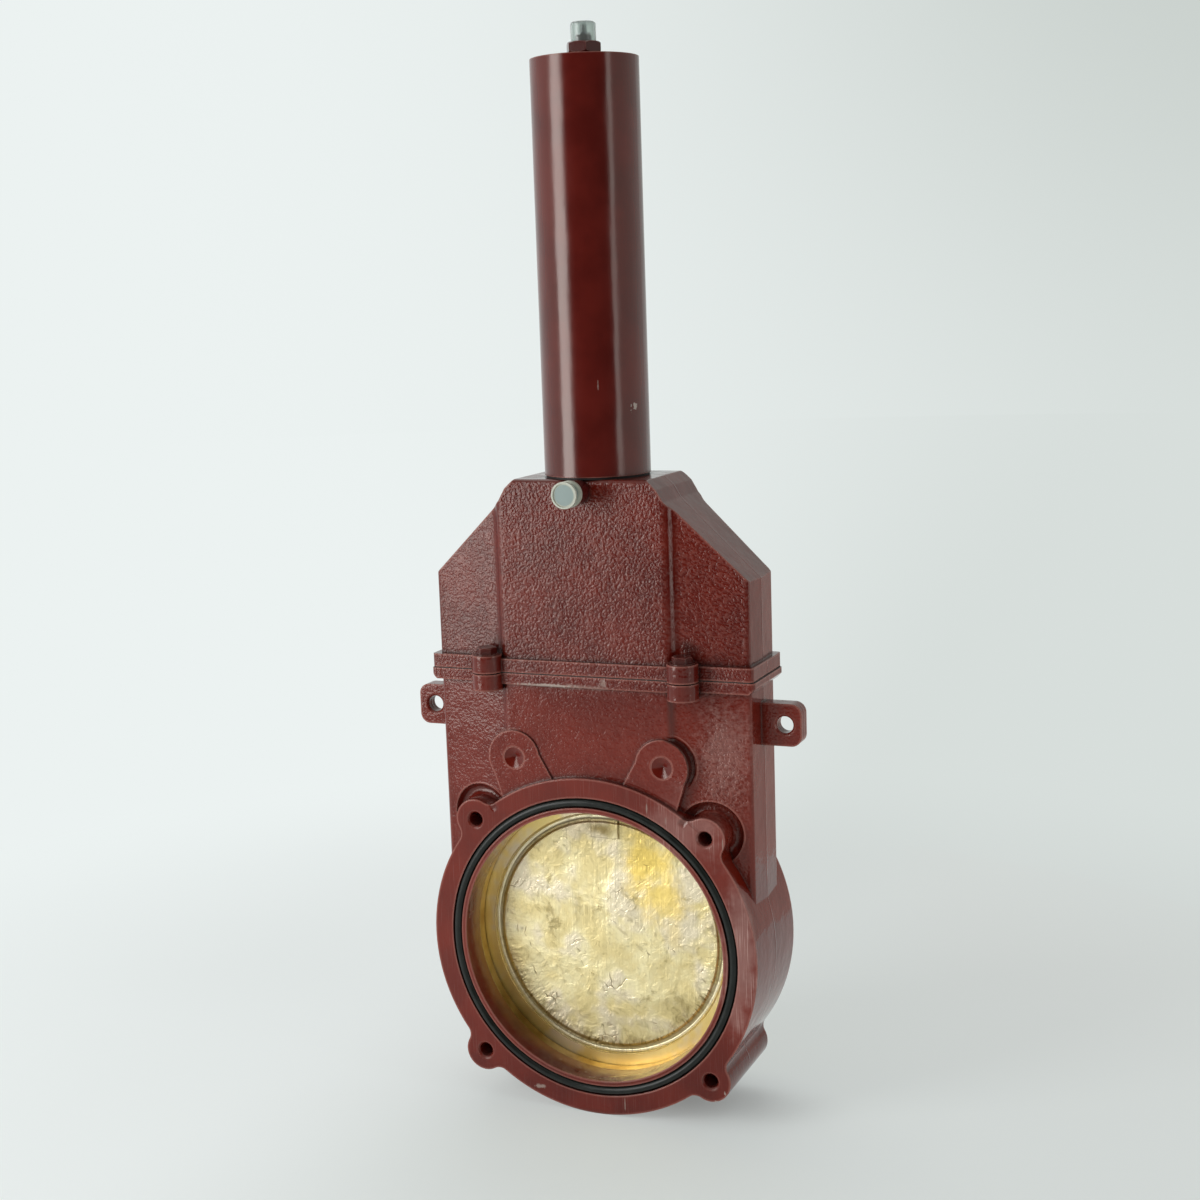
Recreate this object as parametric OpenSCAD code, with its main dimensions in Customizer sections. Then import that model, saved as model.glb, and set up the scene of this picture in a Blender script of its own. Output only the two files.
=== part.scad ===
// Hydraulic gate valve for an 8 inch tanker outlet, closed.
// The bore runs along Y. The origin is the bore's centre on the rear flange face, with the
// front flange face at -face_to_face and the lifting cylinder standing upright on the bonnet.

/* [Bore and flanges] */
// Bore through the valve
bore_d = 200; // [196:1:202]
// Distance between the two flange faces
face_to_face = 84; // [82:1:92]
// Diameter of the round flanges
flange_d = 250; // [246:1:256]
// Circle through the four flange holes
bolt_circle_d = 250; // [246:1:254]
// Tapping size of the flange holes
flange_hole_d = 10.5; // [8:0.5:13]
// Depth of the flange holes
flange_hole_depth = 20; // [14:1:22]
// Width of the countersink round the mouth of the flange holes
countersink = 1.25; // [0.5:0.25:2]
// Radius of the lug round each flange hole
flange_lug_r = 15; // [13:0.5:17]
// Radius between a flange lug and the round flange
flange_lug_fillet = 8; // [5:0.5:10]
// Width of the round trough in the cheek beside each upper flange lug
trough_w = 8.5; // [6:0.5:9]

/* [Face seals] */
// Thickness of the rubber ring in each flange face
face_seal_d = 6; // [5:0.25:6.5]
// Mean diameter of the rubber ring
face_seal_mean_d = 214.4; // [213:0.2:216]
// Width of the groove beyond the ring's own thickness
face_groove_spare = 1.2; // [0.8:0.2:2]
// How far the ring stands out of the flange face
face_seal_proud = 1.2; // [0.8:0.2:1.6]

/* [Lower casting] */
// Depth of the cheeks' outer edges behind the flange face
cheek_inset = 16.5; // [15:0.5:18]
// How far the cheeks fall back from the panel to their outer edges
cheek_fall = 7; // [5:0.5:8]
// Depth of the middle panel behind the flange face
panel_inset = 5; // [4:0.5:6]
// Width of the middle panel
panel_w = 120; // [114:1:124]
// Width of the rounded step from the panel down to a cheek
panel_step_w = 7; // [6.5:0.5:9]
// Radius of the upright corners of the castings
corner_r = 4; // [3:0.5:7]
// How far the sides of the castings lean in from the parting plane
draft = 1.2; // [0.4:0.2:2]
// Wall between the cavity and the outside of the castings
wall = 9.5; // [8:0.5:10]
// Height of the joint between the two castings above the bore's centre
joint_z = 198; // [195:1:204]

/* [Joint flange] */
// Thickness of the flange on the lower casting
lower_flange_t = 8; // [6:0.5:10]
// Thickness of the flange on the bonnet
upper_flange_t = 9.6; // [8:0.5:12]
// How far the lower flange stands out of the casting's sides
joint_lip_x = 4; // [3:0.5:6]
// Step back from the lower flange to the bonnet's flange at the sides
joint_step = 1; // [0.5:0.25:1.5]
// How far the joint flange stands out of the cheeks
joint_lip_y = 6.5; // [4:0.5:8]
// How far the middle of the joint flange stands out of the panel
joint_middle_lip = 1.5; // [1:0.5:3]
// How far the middle of the joint flange reaches past the panel's edges
joint_middle_lap = 5; // [3:0.5:6]
// Radius of the round bolt lugs on the joint flange
bolt_lug_r = 11; // [10:0.5:13]
// Distance of the bolts outside the edge of the middle panel
bolt_offset = 14.5; // [13:0.5:16]
// Depth of the bolt line behind the flange face
bolt_inset = 3; // [1:0.5:6]
// Height of the bolt lugs over the bonnet's flange
bolt_lug_rise = 3; // [2:0.5:5]
// Depth of the bolt lugs under the lower flange
bolt_lug_drop = 4; // [2:0.5:6]
// Thread size of the joint bolts
joint_bolt_d = 8; // [6:1:10]
// Thickness of the joint gasket
gasket_t = 0.8; // [0.6:0.1:1.2]

/* [Side ears] */
// Thickness of the two side ears
ear_t = 12; // [10:1:14]
// How far the ears reach from the valve's centre
ear_reach = 148.5; // [146:0.5:152]
// Height of the ears
ear_h = 30; // [28:1:34]
// Height of the ear holes above the bore's centre
ear_z = 164; // [160:1:166]
// Diameter of the ear holes
ear_hole_d = 12; // [10:0.5:13]
// Distance of the ear holes from the ends of the ears
ear_hole_edge = 12.3; // [11.5:0.1:13]
// Depth of the countersinks of the ear holes
ear_countersink = 1.5; // [0.5:0.25:2]
// Corner radius of the ears
ear_corner_r = 7.5; // [4:0.5:8]

/* [Plug bosses] */
// Distance of the plug bosses from the valve's centre
boss_x = 56.8; // [54:0.2:58]
// Height of the plug bosses above the bore's centre
boss_z = 136; // [134:1:138]
// Radius of the plug bosses
boss_r = 20; // [17:0.5:21]
// How far the bosses stand out of the panel
boss_proud = 1.5; // [1:0.25:2.5]
// Diameter of the sealing plugs
plug_d = 16; // [14:0.5:17]
// Length of the sealing plugs
plug_l = 11; // [9:0.5:12]
// Depth of the conical hollow in the face of each plug
plug_hollow = 3.8; // [3:0.2:5]
// Width of the flat rim round the hollow
plug_rim_w = 0.3; // [0.2:0.1:0.6]

/* [Seats and gate] */
// Radial width of the seat rings
seat_w = 8; // [7:0.5:8.5]
// Depth of the seat rings let into the wall
seat_let_in = 4; // [3:0.5:5]
// Running gap between the gate and each seat
seat_gap = 0.5; // [0.3:0.1:0.8]
// Thickness of the gate
gate_t = 22; // [20:1:24]
// How far the gate's rim reaches past the bore
gate_lap = 5; // [4:0.5:6]
// Space between the gate and the inside of the castings
gate_room = 5; // [5:0.5:7]
// Width of the machined rim round each face of the gate
gate_rim_w = 13.5; // [11:0.5:16]
// Depth of the cast middle of each gate face
gate_dish = 1.5; // [1:0.25:2.5]

/* [Bonnet] */
// Height of the bonnet over the joint
bonnet_h = 138; // [136:1:142]
// Height of the bonnet's upright sides over the joint
shoulder_h = 68; // [66:1:72]
// Height where the shoulders meet the top block, over the joint
shoulder_top_h = 123; // [120:0.5:125]
// Width of the top block where the shoulders meet it
block_w = 124; // [118:1:128]
// Width of the flat top of the bonnet
top_w = 100; // [94:1:104]
// Depth of the bonnet's middle panel behind the flange face
bonnet_panel_inset = 6.5; // [5.5:0.5:7.5]
// Width of the rounded step from the bonnet's panel down to a cheek
bonnet_step_w = 11.5; // [9:0.5:13]
// How far the bonnet's cheeks fall back from the panel to their outer edges
bonnet_cheek_fall = 4; // [2:0.5:5]
// Radius of the upper front and rear edges of the bonnet
bonnet_edge_r = 3.5; // [2:0.5:5]
// Depth of the cavity's roof below the top of the bonnet
roof_t = 20; // [18:1:22]
// Diameter of the pocket for the rod nut in the roof
nut_pocket_d = 38; // [36:1:46]

/* [Cylinder] */
// Outside diameter of the cylinder tube
tube_d = 75; // [73:1:79]
// Wall of the cylinder tube
tube_wall = 5; // [4:0.5:6]
// Top of the cylinder tube above the bore's centre
tube_top_z = 621; // [619:1:640]
// Diameter of the gasket under the cylinder
foot_gasket_d = 73; // [68:1:73]
// Thickness of the gasket under the cylinder
foot_gasket_t = 1.5; // [1:0.25:2]
// Length of the bottom head inside the tube
base_l = 20; // [18:1:24]
// Length of the top head inside the tube
head_l = 19; // [17:1:22]
// Diameter of the piston rod
rod_d = 25; // [22:1:28]
// Diameter of the rod's end inside the gate
rod_end_d = 14; // [12:1:16]
// Depth of the rod's end in the gate
rod_end_l = 24; // [20:1:28]
// Length of the piston
piston_l = 22; // [20:1:26]
// Height of the rod nut
rod_nut_h = 8; // [7:1:10]
// Rod nut across its flats
rod_nut_af = 22; // [20:1:22]
// Height of the piston nut
piston_nut_h = 8; // [6:1:8]
// Piston nut across its flats
piston_nut_af = 27; // [24:1:30]
// Thread size of the piston nut
piston_thread_d = 16; // [14:1:18]

/* [Top fitting] */
// Hexagon of the top fitting across its flats
fitting_af = 22; // [20:1:24]
// Height of the hexagon
fitting_hex_h = 7.4; // [6:0.2:9]
// Diameter of the fitting's collar under the hexagon
fitting_collar_d = 18.5; // [17:0.5:20]
// Height of the collar
fitting_collar_h = 4.2; // [3:0.2:6]
// Diameter of the fitting's spigot inside the dust cap
spigot_d = 11; // [10:0.5:12]
// Height of the spigot
spigot_h = 4.5; // [3:0.5:6]
// Diameter of the dust cap
dust_cap_d = 17.4; // [16.5:0.2:18.6]
// Height of the dust cap
dust_cap_h = 13.5; // [12.5:0.5:15]
// Wall of the dust cap
dust_cap_wall = 1.4; // [1:0.2:1.8]

/* [Front port] */
// Height of the front port below the top of the bonnet
port_drop = 8; // [7:0.5:10]
// Diameter of the port's nipple
port_d = 17; // [15:0.5:18]
// How far the nipple stands out of the panel
port_l = 14.5; // [10:0.5:16]
// Hole in the nipple
port_hole_d = 11; // [9:0.5:12]
// Diameter of the two rims of the port's plastic plug
port_plug_d = 18.6; // [17:0.2:20]
// Thickness of each rim
port_plug_rim_t = 2.4; // [1.8:0.2:3]
// Length of the plug outside the nipple
port_plug_l = 11; // [10:0.5:14]
// Diameter of the plug's neck between its rims
port_plug_neck_d = 13.6; // [12:0.2:15]
// Wall round the hollow in the front rim
port_plug_wall = 1.2; // [0.8:0.2:2]
// Depth of the hollow in the front rim
port_plug_hollow = 1; // [0.6:0.1:1.6]

/* [Hidden] */

$fn = 96;
eps = 0.01;
// A round hollow is cut this much larger, so that it crosses what it blends with.
blend = 0.03;
fit = 0.05;
paint = [0.50, 0.21, 0.19];
brass = [0.80, 0.72, 0.45];
steel = [0.75, 0.76, 0.78];
rubber = [0.12, 0.13, 0.13];
plastic = [0.85, 0.88, 0.84];

// Depths along Y
front_y = -face_to_face;
mid_y = front_y / 2;
half_t = face_to_face / 2;

// Gate and cavity
bore_r = bore_d / 2;
gate_r = bore_r + gate_lap;
cavity_r = gate_r + gate_room;
cavity_t = gate_t + 2 * gate_room;
stroke = gate_r + bore_r;
gate_top_h = gate_r + 1;
dish_r = gate_r - gate_rim_w;

// Heights of the castings
body_top_z = joint_z - gasket_t / 2;
bonnet_foot_z = joint_z + gasket_t / 2;
bonnet_top_z = joint_z + bonnet_h;
roof_z = bonnet_top_z - roof_t;
cheek_half_t = half_t - cheek_inset;
panel_half_t = half_t - panel_inset;
bonnet_panel_half_t = half_t - bonnet_panel_inset;
ear_hole_x = ear_reach - ear_hole_edge;
half_w = cavity_r + wall;
bolt_x = panel_w / 2 + bolt_offset;
bolt_half_y = half_t - bolt_inset;
lug_offset = bolt_circle_d / 2 / sqrt(2);

// Cylinder
tube_foot_z = bonnet_top_z + foot_gasket_t;
tube_bore_d = tube_d - 2 * tube_wall;
base_top_z = tube_foot_z + base_l;
piston_z = base_top_z + 1.5;
piston_top_z = piston_z + piston_l;
head_z = tube_top_z - 1 - head_l;
rod_nut_z = gate_top_h + 0.2;
rod_nut_pocket_z = rod_nut_z + rod_nut_h + stroke + gate_room;
head_cap_z = head_z + head_l;

// Places something at the front and again, turned round, at the back.
module both_faces() {
    children();
    translate([0, 2 * mid_y, 0]) rotate([0, 0, 180]) children();
}

// Places something at each of the four corners of a rectangle in the XZ plane.
module four_corners(x, z) {
    for (i = [-1, 1], k = [-1, 1]) translate([i * x, 0, k * z]) children();
}

// Extrudes a profile drawn in X and Z from one depth back to another.
module extrude_y(from, to) {
    translate([0, to, 0]) rotate([90, 0, 0]) linear_extrude(to - from) children();
}

// A cylinder along Y.
module round_y(d, from, to) {
    translate([0, to, 0]) rotate([90, 0, 0]) cylinder(d = d, h = to - from);
}

// Rectangle with rounded corners, from its half sizes.
module soft_rect(hx, hy, r) {
    square([2 * (hx - r), 2 * hy], center = true);
    square([2 * hx, 2 * (hy - r)], center = true);
    for (i = [-1, 1], j = [-1, 1]) translate([i * (hx - r), j * (hy - r)]) circle(r);
}

// Outline of the round flange with its four lugs, in X and Z.
module flange_outline() {
    a = flange_d / 2 + flange_lug_fillet;
    b = flange_lug_r + flange_lug_fillet;
    c = bolt_circle_d / 2;
    t = acos((a * a + c * c - b * b) / (2 * a * c));
    circle(flange_d / 2);
    for (q = [45:90:315]) rotate(q) {
        translate([c, 0]) circle(flange_lug_r);
        for (s = [-1, 1]) difference() {
            polygon([[0, 0], [c, 0], a * [cos(t), s * sin(t)]]);
            translate(a * [cos(t), s * sin(t)]) circle(flange_lug_fillet + blend);
        }
    }
}

// Goes round all four quarters of an outline, from the points of its first quarter.
function all_round(points) = let (last = len(points) - 1)
    [for (q = [[1, 1], [1, -1], [-1, -1], [-1, 1]], k = [0 : last])
        let (p = points[q.x * q.y > 0 ? k : last - k]) [q.x * p.x, q.y * p.y]];

// Slope of a cheek that falls back to the corner, from the foot of the panel's step.
function cheek_slope(fall, step_w) = fall / (half_w - corner_r - panel_w / 2 - step_w);

// Plan of a casting: a panel on both faces, a rounded step at each of its edges, and the cheeks.
module casting_plan(panel_half, fall, step_w) {
    edge = panel_w / 2;
    step = panel_half - cheek_half_t - fall;
    turn = 2 * atan(step / step_w);
    r = step_w / 2 / sin(turn);
    foot = [edge + step_w, panel_half - step];
    soft_rect(half_w, cheek_half_t, corner_r);
    polygon(all_round(concat(
        [for (k = [0 : 5]) [edge + r * sin(turn * k / 5), panel_half - r + r * cos(turn * k / 5)]],
        [for (k = [4 : -1 : 0]) [foot.x - r * sin(turn * k / 5), foot.y + r - r * cos(turn * k / 5)]],
        [[half_w - corner_r, cheek_half_t - 0.2]])));
}

// The lean of the castings' sides, as a plan to cut them with.
module draft_plan() {
    polygon([[-half_w, 0], [draft - half_w, half_t], [half_w - draft, half_t], [half_w, 0],
        [half_w - draft, -half_t], [draft - half_w, -half_t]]);
}

// Plan of the joint flange without its bolt lugs, with its reach at the sides.
module joint_plan(lip_x) {
    soft_rect(half_w + lip_x, cheek_half_t + joint_lip_y, corner_r - 1);
    square([panel_w + 2 * joint_middle_lap, 2 * (panel_half_t + joint_middle_lip)], center = true);
}

// Flange of the lower casting, with the undersides of its ends cut off at a slant.
module lower_joint_flange() intersection() {
    z = body_top_z - lower_flange_t;
    out = joint_lip_x + 1;
    translate([0, mid_y, z]) linear_extrude(lower_flange_t) joint_plan(joint_lip_x);
    extrude_y(front_y, 0) polygon([[-half_w, z - eps], [half_w, z - eps], [half_w + out, z + out],
        [half_w + out, joint_z], [-half_w - out, joint_z], [-half_w - out, z + out]]);
}

// An upright cylinder at each of the four joint bolts.
module at_bolts(d, from, to) {
    for (i = [-1, 1], j = [-1, 1])
        translate([i * bolt_x, mid_y + j * bolt_half_y, from]) cylinder(d = d, h = to - from);
}

// A boss for a sealing plug, with its pad down to the round flange.
module plug_boss(side) {
    extrude_y(panel_inset - boss_proud + front_y, front_y + cheek_inset + 2) {
        translate([side * boss_x, boss_z]) circle(boss_r);
        polygon([[side * (boss_x + boss_r), boss_z], [side * (boss_x + boss_r - 11.5), boss_z - 36],
            [side * 24, boss_z - 20], [side * (boss_x - 13.4), boss_z + 14.5]]);
    }
}

module ear(side) {
    x0 = half_w - 4;
    hx = (ear_reach - x0) / 2;
    translate([side * (x0 + hx), 0, ear_z]) extrude_y(mid_y - ear_t / 2, mid_y + ear_t / 2) {
        soft_rect(hx, ear_h / 2, ear_corner_r);
        translate([-side * hx / 2, 0]) square([hx, ear_h], center = true);
    }
}

// Hole through an ear, countersunk from both sides.
module ear_hole(side) translate([side * ear_hole_x, 0, ear_z]) {
    round_y(ear_hole_d, mid_y - ear_t / 2 - 1, mid_y + ear_t / 2 + 1);
    for (s = [-1, 1]) translate([0, mid_y + s * (ear_t / 2 + eps), 0]) rotate([s * 90, 0, 0])
        cylinder(d1 = ear_hole_d + 2 * ear_countersink, d2 = ear_hole_d, h = ear_countersink);
}

// Round troughs in the cheeks, beside the four upper flange lugs.
module lug_troughs() {
    slope = cheek_slope(cheek_fall, panel_step_w);
    depth = cheek_inset - slope * (half_w - corner_r - lug_offset);
    both_faces() for (s = [-1, 1]) translate([s * lug_offset, front_y + depth, lug_offset])
        rotate([0, 0, s * atan(slope)]) rotate([90, 0, 0]) rotate_extrude()
            translate([flange_lug_r + trough_w / 2 - 0.5, 0]) circle(d = trough_w + 1);
}

module lower_casting() color(paint) difference() {
    union() {
        extrude_y(front_y, 0) flange_outline();
        difference() {
            translate([0, mid_y, 0]) intersection() {
                linear_extrude(body_top_z) casting_plan(panel_half_t, cheek_fall, panel_step_w);
                linear_extrude(body_top_z) draft_plan();
            }
            lug_troughs();
        }
        lower_joint_flange();
        at_bolts(2 * bolt_lug_r, body_top_z - lower_flange_t - bolt_lug_drop, body_top_z);
        both_faces() {
            plug_boss(-1);
            plug_boss(1);
        }
        ear(-1);
        ear(1);
    }
    ear_hole(-1);
    ear_hole(1);
    round_y(bore_d, front_y - 1, 1);
    // Cavity for the gate
    round_y(2 * cavity_r, mid_y - cavity_t / 2, mid_y + cavity_t / 2);
    translate([-cavity_r, mid_y - cavity_t / 2, 0]) cube([2 * cavity_r, cavity_t, joint_z + 1]);
    // Pockets for the seat rings
    round_y(bore_d + 2 * seat_w + 2 * fit, mid_y - cavity_t / 2 - seat_let_in,
        mid_y + cavity_t / 2 + seat_let_in);
    both_faces() {
        // Groove for the face seal
        translate([0, front_y, 0]) rotate([-90, 0, 0]) difference() {
            translate([0, 0, -1]) cylinder(d = face_seal_mean_d + face_seal_d + face_groove_spare,
                h = 1 + face_seal_d - face_seal_proud);
            translate([0, 0, -2]) cylinder(d = face_seal_mean_d - face_seal_d - face_groove_spare,
                h = 3 + face_seal_d);
        }
        four_corners(lug_offset, lug_offset) {
            round_y(flange_hole_d, front_y - 1, front_y + flange_hole_depth);
            translate([0, front_y - eps, 0]) rotate([-90, 0, 0])
                cylinder(d1 = flange_hole_d + 2 * countersink, d2 = flange_hole_d, h = countersink);
        }
        for (s = [-1, 1]) translate([s * boss_x, 0, boss_z])
            round_y(plug_d, front_y - 1, front_y + panel_inset - boss_proud + plug_l);
    }
    at_bolts(joint_bolt_d - 1.2, body_top_z - lower_flange_t - bolt_lug_drop + 2, joint_z + 1);
}

// Outline of the bonnet in X and Z, over the joint, with the corners of its top cut off in two slants.
module bonnet_outline() {
    corner = [(top_w + block_w) / 4 + 1, (bonnet_h + shoulder_top_h) / 2 + 1];
    translate([0, joint_z]) for (s = [-1, 1]) polygon([[0, 0], [s * half_w, 0], [s * half_w, shoulder_h],
        [s * block_w / 2, shoulder_top_h], [s * corner[0], corner[1]], [s * top_w / 2, bonnet_h],
        [0, bonnet_h]]);
}

// Inside of the bonnet in X and Z: the gate's way up.
module bonnet_cavity() {
    slope = (shoulder_top_h - shoulder_h) / (half_w - block_w / 2);
    z1 = joint_z + shoulder_h - wall * (sqrt(1 + slope * slope) - slope);
    x2 = cavity_r - (roof_z - z1) / slope;
    polygon([[-cavity_r, joint_z - 1], [-cavity_r, z1], [-x2, roof_z], [x2, roof_z],
        [cavity_r, z1], [cavity_r, joint_z - 1]]);
}

// Bonnet seen from the side, with its upper edges rounded.
module bonnet_side() {
    translate([-half_t, 0]) square([2 * half_t, bonnet_h - bonnet_edge_r]);
    half = bonnet_panel_half_t - bonnet_edge_r;
    translate([-half, 0]) square([2 * half, bonnet_h]);
    for (s = [-1, 1]) translate([s * half, bonnet_h - bonnet_edge_r]) circle(bonnet_edge_r);
}

module bonnet() color(paint) difference() {
    union() {
        intersection() {
            translate([0, mid_y, bonnet_foot_z]) intersection() {
                linear_extrude(bonnet_h)
                    casting_plan(bonnet_panel_half_t, bonnet_cheek_fall, bonnet_step_w);
                linear_extrude(bonnet_h) draft_plan();
            }
            extrude_y(front_y - 1, 1) bonnet_outline();
            translate([-half_w - 1, mid_y, joint_z]) rotate([90, 0, 90])
                linear_extrude(2 * half_w + 2) bonnet_side();
        }
        translate([0, mid_y, bonnet_foot_z]) linear_extrude(upper_flange_t)
            joint_plan(joint_lip_x - joint_step);
        at_bolts(2 * bolt_lug_r, bonnet_foot_z, bonnet_foot_z + upper_flange_t + bolt_lug_rise);
    }
    extrude_y(mid_y - cavity_t / 2, mid_y + cavity_t / 2) bonnet_cavity();
    translate([0, mid_y, roof_z - 1]) cylinder(d = nut_pocket_d, h = rod_nut_pocket_z - roof_z + 1);
    translate([0, mid_y, roof_z]) cylinder(d = rod_d + 2, h = roof_t + 1);
    translate([0, 0, bonnet_top_z - port_drop])
        round_y(port_hole_d, front_y - 1, front_y + bonnet_panel_inset + 8);
    at_bolts(joint_bolt_d + 1, joint_z - 1, bonnet_foot_z + upper_flange_t + bolt_lug_rise + 1);
}

module joint_gasket() color(rubber) difference() {
    translate([0, mid_y, joint_z - gasket_t / 2]) linear_extrude(gasket_t)
        joint_plan(joint_lip_x - joint_step);
    translate([-cavity_r, mid_y - cavity_t / 2, joint_z - 1]) cube([2 * cavity_r, cavity_t, 2]);
    at_bolts(joint_bolt_d + 1, joint_z - 1, joint_z + 1);
}

// Seat ring on the front side of the gate.
module seat() color(brass) translate([0, mid_y - cavity_t / 2 - seat_let_in, 0]) rotate([-90, 0, 0])
    difference() {
        cylinder(d = bore_d + 2 * seat_w, h = seat_let_in + gate_room - seat_gap);
        translate([0, 0, -1]) cylinder(d = bore_d, h = seat_let_in + gate_room + 1);
    }

module front_seat() seat();
module rear_seat() translate([0, 2 * mid_y, 0]) rotate([0, 0, 180]) seat();

module face_seal() color(rubber) translate([0, front_y + face_seal_d / 2 - face_seal_proud, 0])
    rotate([90, 0, 0]) rotate_extrude() translate([face_seal_mean_d / 2, 0]) circle(d = face_seal_d - 0.4);

module front_face_seal() face_seal();
module rear_face_seal() translate([0, 2 * mid_y, 0]) rotate([0, 0, 180]) face_seal();

// Sealing plug flush with its boss, with a conical hollow in its face, at the front on a side.
module sealing_plug(side) color(paint)
    translate([side * boss_x, front_y + panel_inset - boss_proud, boss_z]) rotate([-90, 0, 0])
        difference() {
            cylinder(d = plug_d - 2 * fit, h = plug_l);
            translate([0, 0, -eps]) cylinder(d1 = plug_d - 2 * plug_rim_w, d2 = 1, h = plug_hollow);
        }

module front_left_plug() sealing_plug(-1);
module front_right_plug() sealing_plug(1);
module rear_left_plug() translate([0, 2 * mid_y, 0]) rotate([0, 0, 180]) sealing_plug(1);
module rear_right_plug() translate([0, 2 * mid_y, 0]) rotate([0, 0, 180]) sealing_plug(-1);

module on_axis(z) translate([0, mid_y, z]) children();

module foot_gasket() color(rubber) on_axis(bonnet_top_z) difference() {
    cylinder(d = foot_gasket_d, h = foot_gasket_t);
    translate([0, 0, -1]) cylinder(d = rod_d + 6, h = foot_gasket_t + 2);
}

module cylinder_tube() color(paint) on_axis(tube_foot_z) difference() {
    cylinder(d = tube_d, h = tube_top_z - tube_foot_z);
    translate([0, 0, -1]) cylinder(d = tube_bore_d, h = tube_top_z - tube_foot_z + 2);
}

module cylinder_base() color(steel) on_axis(tube_foot_z) difference() {
    cylinder(d = tube_bore_d - 2 * fit, h = base_l);
    translate([0, 0, -1]) cylinder(d = rod_d + 2 * fit, h = base_l + 2);
    translate([0, 0, base_l - 9]) cylinder(d = rod_d + 9, h = 5);
    translate([0, 0, -1]) cylinder(d = rod_d + 7, h = 5);
    translate([0, 0, 8]) difference() {
        cylinder(d = tube_bore_d + 1, h = 4);
        translate([0, 0, -1]) cylinder(d = tube_bore_d - 6, h = 6);
    }
}

module rod_seal() color(rubber) on_axis(tube_foot_z + base_l - 8.8) difference() {
    cylinder(d = rod_d + 8.8, h = 4.6);
    translate([0, 0, -1]) cylinder(d = rod_d + 0.2, h = 7);
}

module rod_wiper() color(rubber) on_axis(tube_foot_z + 0.2) difference() {
    cylinder(d = rod_d + 6.8, h = 3.6);
    translate([0, 0, -1]) cylinder(d = rod_d + 0.2, h = 6);
}

module base_seal() color(rubber) on_axis(tube_foot_z + 10) rotate_extrude()
    translate([tube_bore_d / 2 - 1.6, 0]) circle(d = 2.6);

module cylinder_head() color(paint) on_axis(head_z) difference() {
    cylinder(d = tube_bore_d - 2 * fit, h = head_l);
    translate([0, 0, -1]) cylinder(d = spigot_d, h = head_l + 2);
    translate([0, 0, 7]) difference() {
        cylinder(d = tube_bore_d + 1, h = 4);
        translate([0, 0, -1]) cylinder(d = tube_bore_d - 6, h = 6);
    }
}

module head_seal() color(rubber) on_axis(head_z + 9) rotate_extrude()
    translate([tube_bore_d / 2 - 1.6, 0]) circle(d = 2.6);

module top_fitting() color(paint) on_axis(head_cap_z) difference() {
    union() {
        translate([0, 0, -10]) cylinder(d = spigot_d - 2 * fit, h = 11);
        cylinder(d = fitting_collar_d, h = fitting_collar_h + eps);
        translate([0, 0, fitting_collar_h]) intersection() {
            cylinder(d = fitting_af / cos(30), h = fitting_hex_h, $fn = 6);
            rotate_extrude() polygon([[0, 0], [fitting_af / 2, 0], [fitting_af / 2 + 2, 1.6],
                [fitting_af / 2 + 2, fitting_hex_h - 1.6], [fitting_af / 2, fitting_hex_h],
                [0, fitting_hex_h]]);
        }
        translate([0, 0, fitting_collar_h + fitting_hex_h - eps]) cylinder(d = spigot_d, h = spigot_h);
    }
    translate([0, 0, -11]) cylinder(d = 5, h = 60);
}

module fitting_nipple() color(steel) on_axis(head_cap_z + fitting_collar_h + fitting_hex_h + spigot_h)
    difference() {
        union() {
            cylinder(d = spigot_d - 1.4, h = 1.4);
            translate([0, 0, 1.4 - eps]) cylinder(d1 = 5.4, d2 = 4.2, h = 5.4);
        }
        translate([0, 0, -1]) cylinder(d = 2.4, h = 12);
    }

module dust_cap() color(plastic) on_axis(head_cap_z + fitting_collar_h + fitting_hex_h) rotate_extrude()
    difference() {
        union() {
            square([dust_cap_d / 2, dust_cap_h - 2]);
            square([dust_cap_d / 2 - 2, dust_cap_h]);
            translate([dust_cap_d / 2 - 2, dust_cap_h - 2]) circle(2);
        }
        translate([-1, -1]) square([dust_cap_d / 2 - dust_cap_wall + 1, dust_cap_h - dust_cap_wall + 1]);
        translate([-5, -5]) square([5, 60]);
    }

module port_nipple() color(paint)
    translate([0, front_y + bonnet_panel_inset - port_l, bonnet_top_z - port_drop])
    rotate([-90, 0, 0]) difference() {
        union() {
            cylinder(d = port_d, h = port_l);
            translate([0, 0, port_l - eps]) cylinder(d = port_hole_d - 2 * fit, h = 7);
        }
        translate([0, 0, -1]) cylinder(d = port_hole_d - 3, h = port_l + 6);
    }

module port_plug() color(plastic)
    translate([0, front_y + bonnet_panel_inset - port_l - port_plug_l, bonnet_top_z - port_drop])
        rotate([-90, 0, 0]) difference() {
            union() {
                cylinder(d = port_plug_d, h = port_plug_rim_t);
                cylinder(d = port_plug_neck_d, h = port_plug_l);
                translate([0, 0, port_plug_l - port_plug_rim_t])
                    cylinder(d = port_plug_d, h = port_plug_rim_t);
                cylinder(d = port_hole_d - 3 - 2 * fit, h = port_plug_l + 6);
            }
            translate([0, 0, -1]) cylinder(d = port_plug_d - 2 * port_plug_wall, h = 1 + port_plug_hollow);
        }

module gate() color(brass) difference() {
    union() {
        round_y(2 * gate_r, mid_y - gate_t / 2, mid_y + gate_t / 2);
        translate([-20, mid_y - gate_t / 2, gate_r - 12]) cube([40, gate_t, 12 + gate_top_h - gate_r]);
    }
    both_faces() translate([0, mid_y - gate_t / 2, 0]) difference() {
        round_y(2 * dish_r, -1, gate_dish);
        translate([-10.5, -2, 73]) cube([21, gate_dish + 4, 30]);
    }
    on_axis(gate_top_h - rod_end_l) cylinder(d = rod_end_d + 2 * fit, h = rod_end_l + 1);
}

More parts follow.
